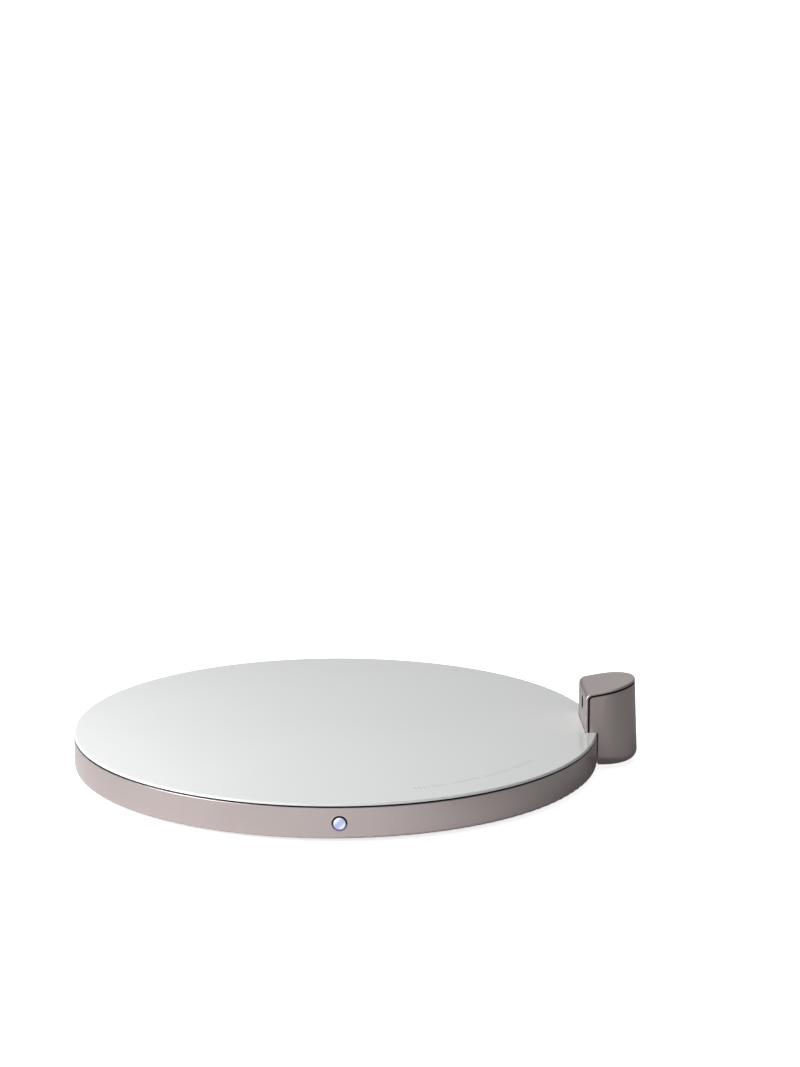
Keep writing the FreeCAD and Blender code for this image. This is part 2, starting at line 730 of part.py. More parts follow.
# Metal rim band with its inner ledge, the button's hole, the inlet's slot and the post's gate.
def make_rim_ring():
    body = new_body("RimRing")
    sketch = outline(new_sketch(body), [
        ("plate_radius", "foot_height"), ("plate_radius", "rim_top"),
        ("rim_seat_radius", "rim_top"), ("rim_seat_radius", "panel_under"),
        ("ledge_radius", "panel_under"), ("ledge_radius", "ledge_under"),
        ("rim_inner_radius", "ledge_under"), ("rim_inner_radius", "cover_top"),
        ("rim_foot_radius", "cover_top"), ("rim_foot_radius", "foot_height")])
    revolve(body, sketch)
    soften(body, lambda edge: is_ring(edge, "plate_radius", "foot_height"), "rim_bottom_round")
    soften(body, lambda edge: is_ring(edge, "plate_radius", "rim_top"), "rim_top_chamfer",
           "PartDesign::Chamfer")
    button_hole = circle(new_sketch(body), "0", "button_level", "button_hole_radius")
    extrude(body, button_hole, "plate_radius", cut=True, back=True)
    inlet_slot = slot_outline(new_sketch(body), "usb_flat", "usb_slot_radius", "usb_level")
    extrude(body, inlet_slot, "plate_radius", cut=True)
    gate = outline(new_sketch(body, "YZ_Plane"), [
        ("-tongue_gate_half_width", "ribbon_gate_under"),
        ("tongue_gate_half_width", "ribbon_gate_under"),
        ("tongue_gate_half_width", "ribbon_gate_top"),
        ("-tongue_gate_half_width", "ribbon_gate_top")])
    extrude(body, gate, "plate_radius", cut=True, back=True)
    finish(body, "rim_ring")


# Bottom cover with the mat's recess, screw bosses and a pad for the bracket.
def make_base_cover():
    body = new_body("BaseCover")
    sketch = outline(new_sketch(body), [
        ("0", "cover_recess"), ("recess_radius", "cover_recess"),
        ("recess_radius", "foot_height"), ("cover_radius", "foot_height"),
        ("cover_radius", "cover_top"), ("0", "cover_top")])
    revolve(body, sketch)
    bosses = new_sketch(body, "XY_Plane", "cover_top")
    for x, y in screw_places:
        circle(bosses, x, y, "cover_boss_radius")
    extrude(body, bosses, "floor_lift")
    pad = outline(new_sketch(body, "XY_Plane", "cover_top"), [
        ("tongue_inner", "-bracket_pad_half_width"), ("web_radius", "-bracket_pad_half_width"),
        ("web_radius", "bracket_pad_half_width"), ("tongue_inner", "bracket_pad_half_width")])
    extrude(body, pad, "bracket_lift")
    heads = new_sketch(body, "XY_Plane")
    for x, y in screw_places:
        circle(heads, x, y, "head_recess_radius")
    extrude(body, heads, "head_recess_top", cut=True, back=True)
    bracket_heads = new_sketch(body, "XY_Plane")
    for x, y in bracket_screw_places:
        circle(bracket_heads, x, y, "bracket_head_recess_radius")
    extrude(body, bracket_heads, "bracket_head_recess_top", cut=True, back=True)
    holes = new_sketch(body, "XY_Plane")
    for x, y in screw_places:
        circle(holes, x, y, "screw_hole_radius")
    for x, y in bracket_screw_places:
        circle(holes, x, y, "bracket_hole_radius")
    extrude(body, holes, cut=True, back=True)
    relief = circle(new_sketch(body, "XZ_Plane", "guide_front"), "0", "button_level",
                    "button_relief_radius")
    extrude(body, relief, "rim_wall", cut=True, back=True)
    finish(body, "base_cover")


# Rubber mat that the warmer stands on, with concentric grip grooves.
def make_foot_mat():
    body = new_body("FootMat")
    sketch = outline(new_sketch(body), [
        ("0", "0"), ("mat_radius", "0"), ("mat_radius", "cover_recess"), ("0", "cover_recess")])
    revolve(body, sketch)
    soften(body, lambda edge: is_ring(edge, "mat_radius", "0"), "mat_edge_round")
    for number in range(int(value("grip_groove_count"))):
        inner = "grip_groove_%d_inner" % number
        outer = "grip_groove_%d_outer" % number
        groove = outline(new_sketch(body), [
            (inner, "0"), (outer, "0"), (outer, "grip_groove_depth"), (inner, "grip_groove_depth")])
        revolve(body, groove, "PartDesign::Groove")
    finish(body, "foot_mat")


# Pan-head screw that points up, with a round drive recess.
def screw(name, x, y, low, seat, tip, head_radius, shank_radius, drive_radius):
    head = upright_rod(name + "Head", x, y, low, seat, head_radius)
    shank = upright_rod(name + "Shank", x, y, seat, tip, shank_radius)
    drive = upright_rod(name + "Drive", x, y, low, seat, drive_radius)
    drive.setExpression("Height", ref("screw_drive_depth"))
    return cut_away(name, join(name + "Solid", [head, shank]), [drive])


# Four screws that hold the cover to the inner frame.
def make_cover_screws():
    items = []
    for number, (x, y) in enumerate(screw_places):
        items.append(screw("CoverScrew%d" % number, x, y, "head_seat", "head_recess_top",
                           "screw_tip", "screw_head_radius", "screw_radius",
                           "screw_drive_radius"))
    finish(group("CoverScrews", items), "cover_screws")


# Moulded frame: cup for the coil, web under the panel, step under the rim's ledge, bosses.
def make_inner_frame():
    body = new_body("InnerFrame")
    sketch = outline(new_sketch(body), [
        ("0", "floor_under"), ("cup_outer_radius", "floor_under"),
        ("cup_outer_radius", "web_under"), ("frame_step_radius", "web_under"),
        ("frame_step_radius", "frame_step_under"), ("frame_radius", "frame_step_under"),
        ("frame_radius", "ledge_under"), ("web_radius", "ledge_under"),
        ("web_radius", "panel_under"), ("cup_radius", "panel_under"),
        ("cup_radius", "floor_top"), ("0", "floor_top")])
    revolve(body, sketch)
    bosses = new_sketch(body, "XY_Plane", "floor_under")
    for x, y in screw_places:
        circle(bosses, x, y, "boss_radius")
    extrude(body, bosses, "boss_height")
    holes = new_sketch(body, "XY_Plane", "floor_under")
    for x, y in screw_places:
        circle(holes, x, y, "screw_hole_radius")
    extrude(body, holes, "boss_hole_depth", cut=True, back=True)
    eye = circle(new_sketch(body, "XY_Plane"), "0", "0", "thermistor_radius")
    extrude(body, eye, "shield_top", cut=True, back=True)
    inlet = outline(new_sketch(body, "XZ_Plane", "-usb_back"), [
        ("-usb_slot_end", "floor_under"), ("usb_slot_end", "floor_under"),
        ("usb_slot_end", "inlet_relief_top"), ("-usb_slot_end", "inlet_relief_top")])
    extrude(body, inlet, "usb_depth", cut=True)
    relief = circle(new_sketch(body, "XZ_Plane", "guide_front"), "0", "button_level",
                    "button_relief_radius")
    extrude(body, relief, "rim_wall", cut=True, back=True)
    gate = outline(new_sketch(body, "YZ_Plane", "coil_inner_radius"), [
        ("-lead_gate_half_width", "floor_top"), ("lead_gate_half_width", "floor_top"),
        ("lead_gate_half_width", "lead_gate_top"), ("-lead_gate_half_width", "lead_gate_top")])
    extrude(body, gate, "cup_outer_radius", cut=True, back=True)
    finish(body, "inner_frame")


# A disc with an eye, and with a slot for the coil's inner lead where asked.
def disc_body(name, low, height, slotted):
    body = new_body(name)
    ring = new_sketch(body, "XY_Plane", low)
    circle(ring, "0", "0", "disc_radius")
    circle(ring, "0", "0", "disc_eye_radius")
    extrude(body, ring, height)
    if slotted:
        slot = outline(new_sketch(body, "XY_Plane", low), [
            ("disc_eye_radius", "-lead_slot_far"), ("cup_radius", "-lead_slot_far"),
            ("cup_radius", "-lead_slot_near"), ("disc_eye_radius", "-lead_slot_near")])
        extrude(body, slot, height, cut=True, back=True)
    return body


# Aluminium shield and ferrite disc under the coil.
def make_discs():
    finish(disc_body("ShieldPlate", "floor_top", "shield_thickness", False), "shield_plate")
    finish(disc_body("FerriteDisc", "shield_top", "ferrite_thickness", True), "ferrite_disc")


# Sweeps a round section along a path of lines and arcs.
def sweep_round(path, start, direction, radius):
    section = Part.Wire([Part.Edge(Part.Circle(start, direction, radius))])
    return path.makePipeShell([section], True, False)


# Least gap between a flat coil and its own later turns, from points every half millimetre along its middle.
def least_gap(path, wire_radius):
    step = 0.5
    spots = [(spot.x, spot.y) for spot in path.discretize(Number=int(path.Length / step))]
    skip = int(6 * wire_radius / step)
    nearest = min(math.hypot(x - u, y - v)
                  for number, (x, y) in enumerate(spots) for u, v in spots[number + skip:])
    return nearest - 2 * wire_radius


# Flat spiral of the heating coil, from half turns about two centres, with straight ends.
def make_heating_coil():
    pitch = value("coil_pitch")
    inner = value("coil_inner_radius")
    level = value("coil_level")
    wire_radius = value("coil_wire_radius")
    turns = int(value("coil_turns"))
    tail = value("coil_tail")
    start = Vector(inner, -tail, level)
    here = Vector(inner, 0, level)
    edges = [Part.LineSegment(start, here).toShape()]
    for half in range(2 * turns):
        radius = inner + half * pitch / 2
        centre_x = 0.0 if half % 2 == 0 else pitch / 2
        side = 1 if half % 2 == 0 else -1
        top = Vector(centre_x, side * radius, level)
        there = Vector(centre_x - side * radius, 0, level)
        edges.append(Part.Arc(here, top, there).toShape())
        here = there
    edges.append(Part.LineSegment(here, here + Vector(0, tail, 0)).toShape())
    path = Part.Wire(edges)
    solid = sweep_round(path, start, Vector(0, 1, 0), wire_radius)
    expected = math.pi * wire_radius ** 2 * path.Length
    print("coil: least gap between turns, measured on points, %.3f mm" % least_gap(path, wire_radius))
    print("coil: volume against section times length %.4f" % (solid.Volume / expected))
    item = doc.addObject("Part::Feature", "HeatingCoil")
    item.Shape = solid
    item.Placement = Placement(Vector(0, 0, 0), Rotation())
    finish(item, "heating_coil")


# A round lead through given points, with its corners bent to one radius.
def bent_lead(points, bend, radius):
    edges = []
    here = points[0]
    for before, corner, after in zip(points, points[1:], points[2:]):
        arrive = (corner - before).normalize()
        leave = (after - corner).normalize()
        turn = arrive.getAngle(leave)
        run = bend * math.tan(turn / 2)
        arc_start = corner - arrive * run
        arc_end = corner + leave * run
        inward = (leave - arrive).normalize()
        middle = corner + inward * (bend / math.cos(turn / 2) - bend)
        edges.append(Part.LineSegment(here, arc_start).toShape())
        edges.append(Part.Arc(arc_start, middle, arc_end).toShape())
        here = arc_end
    edges.append(Part.LineSegment(here, points[-1]).toShape())
    return sweep_round(Part.Wire(edges), points[0], points[1] - points[0], radius)


# The coil's two leads: the inner one dives into the ferrite's slot, both end on the board.
def make_coil_leads():
    bend = value("lead_bend")
    radius = value("lead_radius")
    tail = value("coil_tail")
    level = value("coil_level")
    board = value("board_top")
    low = value("shield_top") + radius
    inner = value("coil_inner_radius")
    outer = value("coil_outer_radius")
    landing = value("board_inner_radius") + value("lead_landing")
    drop = radius + value("coil_wire_radius")
    inner_lead = bent_lead([
        Vector(inner, -tail, level - drop + radius), Vector(inner, -tail, low),
        Vector(landing, -tail, low), Vector(landing, -tail, board)], radius * 1.2, radius)
    outer_lead = bent_lead([
        Vector(outer + value("coil_wire_radius"), tail - radius, level),
        Vector(landing, tail - radius, level), Vector(landing, tail - radius, board)], bend, radius)
    item = doc.addObject("Part::Feature", "CoilLeads")
    item.Shape = Part.makeCompound([inner_lead, outer_lead])
    item.Placement = Placement(Vector(0, 0, 0), Rotation())
    finish(item, "coil_leads")


# Insulating pad between the coil and the panel, with an eye for the thermistor.
def make_thermal_pad():
    body = new_body("ThermalPad")
    ring = new_sketch(body, "XY_Plane", "pad_under")
    circle(ring, "0", "0", "disc_radius")
    circle(ring, "0", "0", "pad_eye_radius")
    extrude(body, ring, "thermal_pad_thickness")
    finish(body, "thermal_pad")


# Thermistor bead against the panel's underside, and its two wires to the board's edge.
def make_thermistor():
    bead = upright_rod("Thermistor", "0", "0", "thermistor_under", "panel_under",
                       "thermistor_radius")
    finish(bead, "thermistor")
    wire_radius = value("thermistor_wire_radius")
    level = (value("cover_top") + value("floor_under")) / 2
    edge = value("board_inner_radius") - value("thermistor_wire_end_gap")
    wires = []
    for side in (-1, 1):
        across = side * value("thermistor_wire_offset")
        wires.append(bent_lead([
            Vector(0, across, value("thermistor_under")), Vector(0, across, level),
            Vector(edge, across, level)], value("thermistor_wire_bend"), wire_radius))
    item = doc.addObject("Part::Feature", "ThermistorWires")
    item.Shape = Part.makeCompound(wires)
    item.Placement = Placement(Vector(0, 0, 0), Rotation())
    finish(item, "thermistor_wires")


# C-shaped circuit board round the cup, notched for the bosses, inlet, bracket and button guide.
def make_main_board():
    disc = upright_rod("BoardDisc", "0", "0", "cover_top", "board_top", "board_outer_radius")
    disc.setExpression("Angle", ref("board_angle"))
    disc.Placement = Placement(Vector(), Rotation(Vector(0, 0, 1), -value("board_angle") / 2))
    place(disc, "0", "0", ref("cover_top"))
    tools = [upright_rod("BoardEye", "0", "0", "cover_top", "board_top", "board_inner_radius")]
    for number, (x, y) in enumerate(screw_places):
        tools.append(upright_rod("BoardHole%d" % number, x, y, "cover_top", "board_top",
                                 "board_hole_radius"))
    tools.append(block("InletNotch", ("-inlet_notch_half_width", "inlet_notch_inner", "cover_top"),
                       ("inlet_notch_half_width", "plate_radius", "board_top")))
    tools.append(block("BracketNotch",
                       ("bracket_notch_inner", "-bracket_notch_half_width", "cover_top"),
                       ("plate_radius", "bracket_notch_half_width", "board_top")))
    tools.append(block("GuideNotch", ("-guide_notch_half_width", "-plate_radius", "cover_top"),
                       ("guide_notch_half_width", "-guide_notch_inner", "board_top")))
    finish(cut_away("MainBoard", disc, tools), "main_board")


# Parts soldered on the board, each turned to face the pad's axis.
def make_board_parts():
    for name, *rest in board_parts:
        items = []
        for number in range(int(value(name + "_count"))):
            item = doc.addObject("Part::Box", "%s%d" % (name, number))
            item.setExpression("Length", ref(name + "_length"))
            item.setExpression("Width", ref(name + "_width"))
            item.setExpression("Height", ref(name + "_height"))
            turn = value(name + "_angle") + number * value(name + "_step_angle")
            azimuth = "(%s + %d * %s)" % (ref(name + "_angle"), number, ref(name + "_step_angle"))
            along = "(%s + %s - %s / 2)" % (ref("board_inner_radius"), ref(name + "_inset"),
                                            ref(name + "_length"))
            across = "(%s / 2)" % ref(name + "_width")
            item.Placement = Placement(Vector(), Rotation(Vector(0, 0, 1), turn))
            place(item, "%s * cos(%s) + %s * sin(%s)" % (along, azimuth, across, azimuth),
                  "%s * sin(%s) - %s * cos(%s)" % (along, azimuth, across, azimuth),
                  ref("board_top"))
            items.append(item)
        finish(items[0] if len(items) == 1 else group(name + "Group", items), name)


# Steel shell of the power inlet, open at the rim.
def make_usb_shell():
    body = new_body("UsbShell")
    outer = slot_outline(new_sketch(body, "XZ_Plane", "-usb_back"), "usb_flat",
                         "usb_half_height", "usb_level")
    extrude(body, outer, "usb_depth", back=True)
    inner = slot_outline(new_sketch(body, "XZ_Plane", "-usb_mouth"), "usb_flat",
                         "usb_inner_radius", "usb_level")
    extrude(body, inner, "usb_hollow_depth", cut=True, back=True)
    finish(body, "usb_shell")


# Moulded block and contact tongue inside the inlet's shell.
def make_usb_tongue():
    base = block("UsbBlock", ("-usb_flat", "usb_bed", "usb_block_low"),
                 ("usb_flat", "usb_block_front", "usb_block_high"))
    tongue = block("UsbBlade", ("-usb_tongue_half_width", "usb_bed", "usb_tongue_low"),
                   ("usb_tongue_half_width", "usb_tongue_end", "usb_tongue_high"))
    finish(join("UsbTongue", [base, tongue]), "usb_tongue")


# Translucent push button: domed front, retaining flange and stem, along -Y.
def make_button_cap():
    body = new_body("ButtonCap")
    sketch = outline(new_sketch(body), [
        ("0", "stem_end"), ("button_stem_radius", "stem_end"),
        ("button_stem_radius", "flange_back"), ("button_flange_radius", "flange_back"),
        ("button_flange_radius", "flange_front"), ("button_radius", "flange_front"),
        ("button_radius", "button_front"), ("0", "button_front")])
    revolve(body, sketch)
    soften(body, lambda edge: is_ring(edge, "button_radius", "button_front"),
           "button_front_round")
    body.Placement = Placement(Vector(), Rotation(Vector(1, 0, 0), 90))
    place(body, "0", "0", ref("button_level"))
    finish(body, "button_cap")


# Block on the cover that guides the button's stem.
def make_button_guide():
    base = block("GuideBlock", ("-guide_half_width", "-guide_front", "cover_top"),
                 ("guide_half_width", "-guide_back", "guide_top"))
    bore = level_rod("GuideBore", "Y", "0", "button_level", "-guide_front", "-guide_back",
                     "guide_bore_radius")
    finish(cut_away("ButtonGuide", base, [bore]), "button_guide")


# Side-pushed switch on the board, hollow for its plunger.
def make_switch_body():
    base = block("SwitchBlock", ("-switch_half_width", "-switch_front", "board_top"),
                 ("switch_half_width", "-switch_back", "switch_top"))
    hollow = block("SwitchHollow", ("-hollow_half_width", "-switch_front", "hollow_low"),
                   ("hollow_half_width", "-switch_hollow_back", "hollow_high"))
    finish(cut_away("SwitchBody", base, [hollow]), "switch_body")


# The switch's plunger, which the button's stem rests on.
def make_switch_plunger():
    finish(block("SwitchPlunger", ("-plunger_half_width", "-stem_end", "plunger_low"),
                 ("plunger_half_width", "-plunger_back", "plunger_high")), "switch_plunger")


# Two small lamps beside the guide that light the button.
def make_status_leds():
    right = block("LedRight", ("led_near", "-led_front", "board_top"),
                  ("led_far", "-led_back", "led_top"))
    left = block("LedLeft", ("-led_far", "-led_front", "board_top"),
                 ("-led_near", "-led_back", "led_top"))
    finish(group("StatusLeds", [right, left]), "status_leds")


# Cuts through the body on one side of a bent surface: up the flat face, round the bend, along the slope
# and then through the named corners.
def trim(body, key, corners):
    sketch = new_sketch(body)
    middle = Vector(value("bend_x"), value("bend_level"), 0)
    begin = Vector(value(key + "_x"), value("foot_cut"), 0)
    lean = math.radians(90 + value("post_slope"))
    ring = Part.Circle(middle, Vector(0, 0, 1), value(key + "_bend"))
    flat = add_line(sketch, begin, ring.value(math.pi))
    arc = sketch.addGeometry(Part.ArcOfCircle(ring, lean, math.pi), False)
    spots = [ring.value(lean)] + [Vector(value(x), value(y), 0) for x, y in corners]
    lines = [add_line(sketch, one, other) for one, other in zip(spots, spots[1:] + [begin])]
    sketch.addConstraint(Sketcher.Constraint("Coincident", flat, 2, arc, 2))
    sketch.addConstraint(Sketcher.Constraint("Tangent", arc, 1, lines[0], 1))
    for line, after in zip(lines, lines[1:] + [flat]):
        sketch.addConstraint(Sketcher.Constraint("Coincident", line, 2, after, 1))
    tie(sketch, "DistanceX", flat, 1, key + "_x")
    tie(sketch, "DistanceY", flat, 1, "foot_cut")
    tie(sketch, "DistanceX", flat, 2, key + "_x")
    tie(sketch, "DistanceY", flat, 2, "bend_level")
    tie(sketch, "DistanceX", arc, 3, "bend_x")
    tie(sketch, "DistanceY", arc, 3, "bend_level")
    for line, (x, y) in zip(lines, corners):
        tie(sketch, "DistanceX", line, 2, x)
        tie(sketch, "DistanceY", line, 2, y)
    extrude(body, sketch, cut=True, both=True)


# Cuts off what lies outside the bent surface.
def trim_outside(body, key):
    trim(body, key, [("post_far", key + "_far"), ("post_far", "sky"), ("post_begin", "sky"),
                     ("post_begin", "foot_cut")])


# Cuts off what lies inside the bent surface.
def trim_inside(body, key):
    trim(body, key, [("post_far", key + "_far"), ("post_far", "foot_cut")])


# True for an edge of the prism that borders the cap's flat face, its bend or its sloping top.
def is_cap_rim(edge):
    slope = math.tan(math.radians(value("post_slope")))
    corner_x, corner_z = value("cap_outer_x"), value("post_top")
    centre = edge.valueAt((edge.FirstParameter + edge.LastParameter) / 2)
    if edge.BoundBox.YLength > 2 * value("cap_corner") and isinstance(edge.Curve, Part.Line):
        return False
    near_flat = abs(centre.x - corner_x) < 1e-3
    near_top = abs(centre.z - corner_z - (centre.x - corner_x) * slope) < 1e-3
    near_bend = math.hypot(centre.x - corner_x, centre.z - corner_z) < value("cap_corner")
    return near_flat or near_top or near_bend


# The post's drafted D-shaped prism, from a named level up to above the top.
def post_prism(body, nose_radius, level, height, cut=False):
    sketch = d_outline(new_sketch(body, "XY_Plane", level), "post_start", "post_nose", nose_radius)
    prism = extrude(body, sketch, height, cut=cut, back=cut)
    prism.setExpression("TaperAngle", "-" + ref("post_draft"))
    doc.recompute()
    return prism


# Side wall of the post: floor, nose and both sides in one shell, open towards the pad.
def make_post_shell():
    body = new_body("PostShell")
    post_prism(body, "post_half_width", "post_lift", "post_height")
    low = value("post_lift")
    flat = value("post_start")
    soften(body, lambda edge: abs(edge.BoundBox.ZMax - low) < 1e-4
           and edge.BoundBox.XMax > flat + 1e-3, "post_bottom_round")
    post_prism(body, "post_inside_half_width", "post_floor_top", "post_cavity_height", cut=True)
    trim_outside(body, "seam_low")
    hug = circle(new_sketch(body, "XY_Plane"), "0", "0", "post_hug_radius")
    extrude(body, hug, "post_foot_level", cut=True, back=True)
    recess = circle(new_sketch(body, "XY_Plane"), "post_screw_x", "0", "post_head_radius")
    extrude(body, recess, "post_head_top", cut=True, back=True)
    hole = circle(new_sketch(body, "XY_Plane"), "post_screw_x", "0", "screw_hole_radius")
    extrude(body, hole, "post_floor_top", cut=True, back=True)
    finish(body, "post_shell")


# Top and pad-facing face of the post, bent from one plate, with the sensor's window hole.
def make_post_cap():
    body = new_body("PostCap")
    post_prism(body, "post_half_width", "post_lift", "post_height")
    trim_outside(body, "cap_outer")
    soften(body, lambda edge: is_cap_rim(edge), "cap_edge_round")
    trim_inside(body, "cap_inner")
    leg = outline(new_sketch(body), [
        ("post_begin", "foot_cut"), ("post_far", "foot_cut"),
        ("post_far", "post_foot_level"), ("post_begin", "post_foot_level")])
    extrude(body, leg, cut=True, both=True)
    hole = circle(new_sketch(body, "YZ_Plane"), "0", "window_level", "window_radius")
    extrude(body, hole, "plate_radius", cut=True, back=True)
    finish(body, "post_cap")


# Dark gasket in the seam between cap and shell.
def make_post_gasket():
    body = new_body("PostGasket")
    post_prism(body, "gasket_half_width", "post_lift", "post_height")
    post_prism(body, "post_inside_half_width", "post_floor_top", "post_cavity_height", cut=True)
    trim_outside(body, "cap_inner")
    trim_inside(body, "seam_low")
    leg = outline(new_sketch(body), [
        ("post_begin", "foot_cut"), ("post_far", "foot_cut"),
        ("post_far", "post_foot_level"), ("post_begin", "post_foot_level")])
    extrude(body, leg, cut=True, both=True)
    finish(body, "post_gasket")


# Dark infrared window set in the cap's face.
def make_sensor_window():
    finish(level_rod("SensorWindow", "X", "0", "window_level", "window_front", "window_back",
                     "window_disc_radius"), "sensor_window")


# Infrared sensor can behind the window.
def make_sensor_can():
    finish(level_rod("SensorCan", "X", "0", "window_level", "sensor_front",
                     "sensor_board_front", "sensor_radius"), "sensor_can")


# Small upright board that carries the sensor.
def make_sensor_board():
    finish(block("SensorBoard",
                 ("sensor_board_front", "-sensor_board_half_width", "sensor_board_under"),
                 ("sensor_board_back", "sensor_board_half_width", "sensor_board_top")),
           "sensor_board")


# Bracket: tongue through the rim, foot block on the shell's floor and upright for the board.
def make_post_bracket():
    tongue = block("BracketTongue", ("tongue_inner", "-tongue_half_width", "tongue_under"),
                   ("bracket_back", "tongue_half_width", "tongue_top"))
    foot = block("BracketFoot",
                 ("sensor_board_front", "-bracket_block_half_width", "post_floor_top"),
                 ("bracket_back", "bracket_block_half_width", "tongue_top"))
    wall = block("BracketWall",
                 ("sensor_board_back", "-sensor_board_half_width", "tongue_under"),
                 ("upright_back", "sensor_board_half_width", "sensor_board_top"))
    holes = []
    for number, (x, y) in enumerate(bracket_screw_places):
        holes.append(upright_rod("BracketHole%d" % number, x, y, "tongue_under", "tongue_top",
                                 "bracket_hole_radius"))
    holes.append(upright_rod("PostHole", "post_screw_x", "0", "post_floor_top", "post_hole_top",
                             "screw_hole_radius"))
    finish(cut_away("PostBracket", join("BracketSolid", [tongue, foot, wall]), holes),
           "post_bracket")


# Two screws of the bracket's tongue and the one under the post.
def make_bracket_screws():
    items = []
    for number, (x, y) in enumerate(bracket_screw_places):
        items.append(screw("BracketScrew%d" % number, x, y, "bracket_head_seat",
                           "bracket_head_recess_top", "tongue_top",
                           "bracket_screw_head_radius", "bracket_screw_radius",
                           "bracket_screw_drive_radius"))
    finish(group("BracketScrews", items), "bracket_screws")
    finish(screw("PostScrew", "post_screw_x", "0", "post_head_seat", "post_head_top",
                 "post_screw_tip", "screw_head_radius", "screw_radius",
                 "screw_drive_radius"), "post_screw")


# Flat ribbon from the sensor board down the bracket and through the rim's gate.
def make_sensor_ribbon():
    body = new_body("SensorRibbon")
    sketch = outline(new_sketch(body), [
        ("socket_outer", "ribbon_under"), ("sensor_board_front", "ribbon_under"),
        ("sensor_board_front", "sensor_board_under"), ("ribbon_back", "sensor_board_under"),
        ("ribbon_back", "ribbon_top"), ("socket_outer", "ribbon_top")])
    extrude(body, sketch, "ribbon_width", both=True)
    inner_x, inner_z = value("ribbon_back"), value("ribbon_top")
    outer_x, outer_z = value("sensor_board_front"), value("ribbon_under")
    soften(body, lambda edge: abs(edge.CenterOfMass.x - inner_x) < 1e-4
           and abs(edge.CenterOfMass.z - inner_z) < 1e-4, "ribbon_bend")
    soften(body, lambda edge: abs(edge.CenterOfMass.x - outer_x) < 1e-4
           and abs(edge.CenterOfMass.z - outer_z) < 1e-4, "ribbon_outer_bend")
    finish(body, "sensor_ribbon")


# Socket on the board that the ribbon plugs into.
def make_ribbon_socket():
    finish(block("RibbonSocket", ("socket_inner", "-socket_half_width", "board_top"),
                 ("socket_outer", "socket_half_width", "socket_top")), "ribbon_socket")


# Fails if any object is invalid or any sub-part's shape is unsound.
def check_all():
    for item in doc.Objects:
        if "Invalid" in item.State or "Error" in item.State:
            raise ValueError(item.Label + " failed: " + ", ".join(item.State))
    for item in node_objects:
        if item.Shape.isNull() or not item.Shape.isValid() or not item.Shape.Solids:
            raise ValueError(item.Label + " has no sound shape")


make_top_panel()
make_panel_seal()
make_rim_ring()
make_base_cover()
make_foot_mat()
make_cover_screws()
make_inner_frame()
make_discs()
make_heating_coil()
make_coil_leads()
make_thermal_pad()
make_thermistor()
make_main_board()
make_board_parts()
make_usb_shell()
make_usb_tongue()
make_button_cap()
make_button_guide()
make_switch_body()
make_switch_plunger()
make_status_leds()
make_post_shell()
make_post_cap()
make_post_gasket()
make_sensor_window()
make_sensor_can()
make_sensor_board()
make_post_bracket()
make_bracket_screws()
make_sensor_ribbon()
make_ribbon_socket()
doc.recompute()
check_all()

os.makedirs("parts", exist_ok=True)
for item in node_objects:
    item.Shape.exportStep("parts/" + item.Label + ".step")
    print("%-20s %2d solids %10.2f mm3" % (item.Label, len(item.Shape.Solids), item.Shape.Volume))
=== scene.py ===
import bmesh
import bpy
import math
from mathutils import Matrix, Vector


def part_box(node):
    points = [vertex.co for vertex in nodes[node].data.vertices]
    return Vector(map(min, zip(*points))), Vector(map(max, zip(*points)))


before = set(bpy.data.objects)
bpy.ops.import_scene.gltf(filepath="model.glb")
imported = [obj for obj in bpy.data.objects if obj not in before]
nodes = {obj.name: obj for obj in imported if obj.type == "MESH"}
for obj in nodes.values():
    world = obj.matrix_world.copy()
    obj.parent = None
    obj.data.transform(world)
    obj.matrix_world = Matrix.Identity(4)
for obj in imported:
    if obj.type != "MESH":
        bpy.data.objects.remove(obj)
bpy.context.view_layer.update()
print("stage: frame loaded,", len(nodes), "nodes")

# camera: the photograph's own view, lengths in metres, turns in degrees, lens and frame in millimetres
view = dict(place=(-0.0054, -0.5192, 0.15765), heading=1.99, pitch=12.10, roll=0.15,
            lens=91.1, frameHeight=36.0, nearest=0.01, farthest=60.0)


def placeCamera():
    data = bpy.data.cameras.new("productCamera")
    data.sensor_fit = "VERTICAL"
    data.sensor_height = view["frameHeight"]
    data.lens = view["lens"]
    data.clip_start = view["nearest"]
    data.clip_end = view["farthest"]
    camera = bpy.data.objects.new("productCamera", data)
    bpy.context.scene.collection.objects.link(camera)
    turn = Matrix.Rotation(math.radians(-view["heading"]), 4, "Z")
    tilt = Matrix.Rotation(math.radians(90.0 - view["pitch"]), 4, "X")
    lean = Matrix.Rotation(math.radians(view["roll"]), 4, "Z")
    camera.matrix_world = Matrix.Translation(view["place"]) @ turn @ tilt @ lean
    bpy.context.scene.camera = camera


placeCamera()
bpy.context.scene.view_settings.view_transform = "Standard"
print("stage: camera placed")


# node helpers used by every material

# each input takes a value of its own, or the socket that feeds it
def feed(tree, node, terms):
    for key, term in terms.items():
        if isinstance(term, bpy.types.NodeSocket):
            tree.links.new(term, node.inputs[key])
        else:
            node.inputs[key].default_value = term


def addNode(tree, kind, settings=None, terms=None):
    node = tree.nodes.new(kind)
    for key, setting in (settings or {}).items():
        setattr(node, key, setting)
    feed(tree, node, terms or {})
    return node


def newMaterial(name):
    material = bpy.data.materials.new(name)
    material.use_nodes = True
    tree = material.node_tree
    tree.nodes.clear()
    shader = addNode(tree, "ShaderNodeBsdfPrincipled")
    addNode(tree, "ShaderNodeOutputMaterial", terms={"Surface": shader.outputs["BSDF"]})
    return material, tree, shader


def opaque(color):
    return (*color, 1.0)


def objectCoords(tree):
    return addNode(tree, "ShaderNodeTexCoord").outputs["Object"]


def splitCoords(tree):
    split = addNode(tree, "ShaderNodeSeparateXYZ", terms={"Vector": objectCoords(tree)})
    return split.outputs["X"], split.outputs["Y"], split.outputs["Z"]


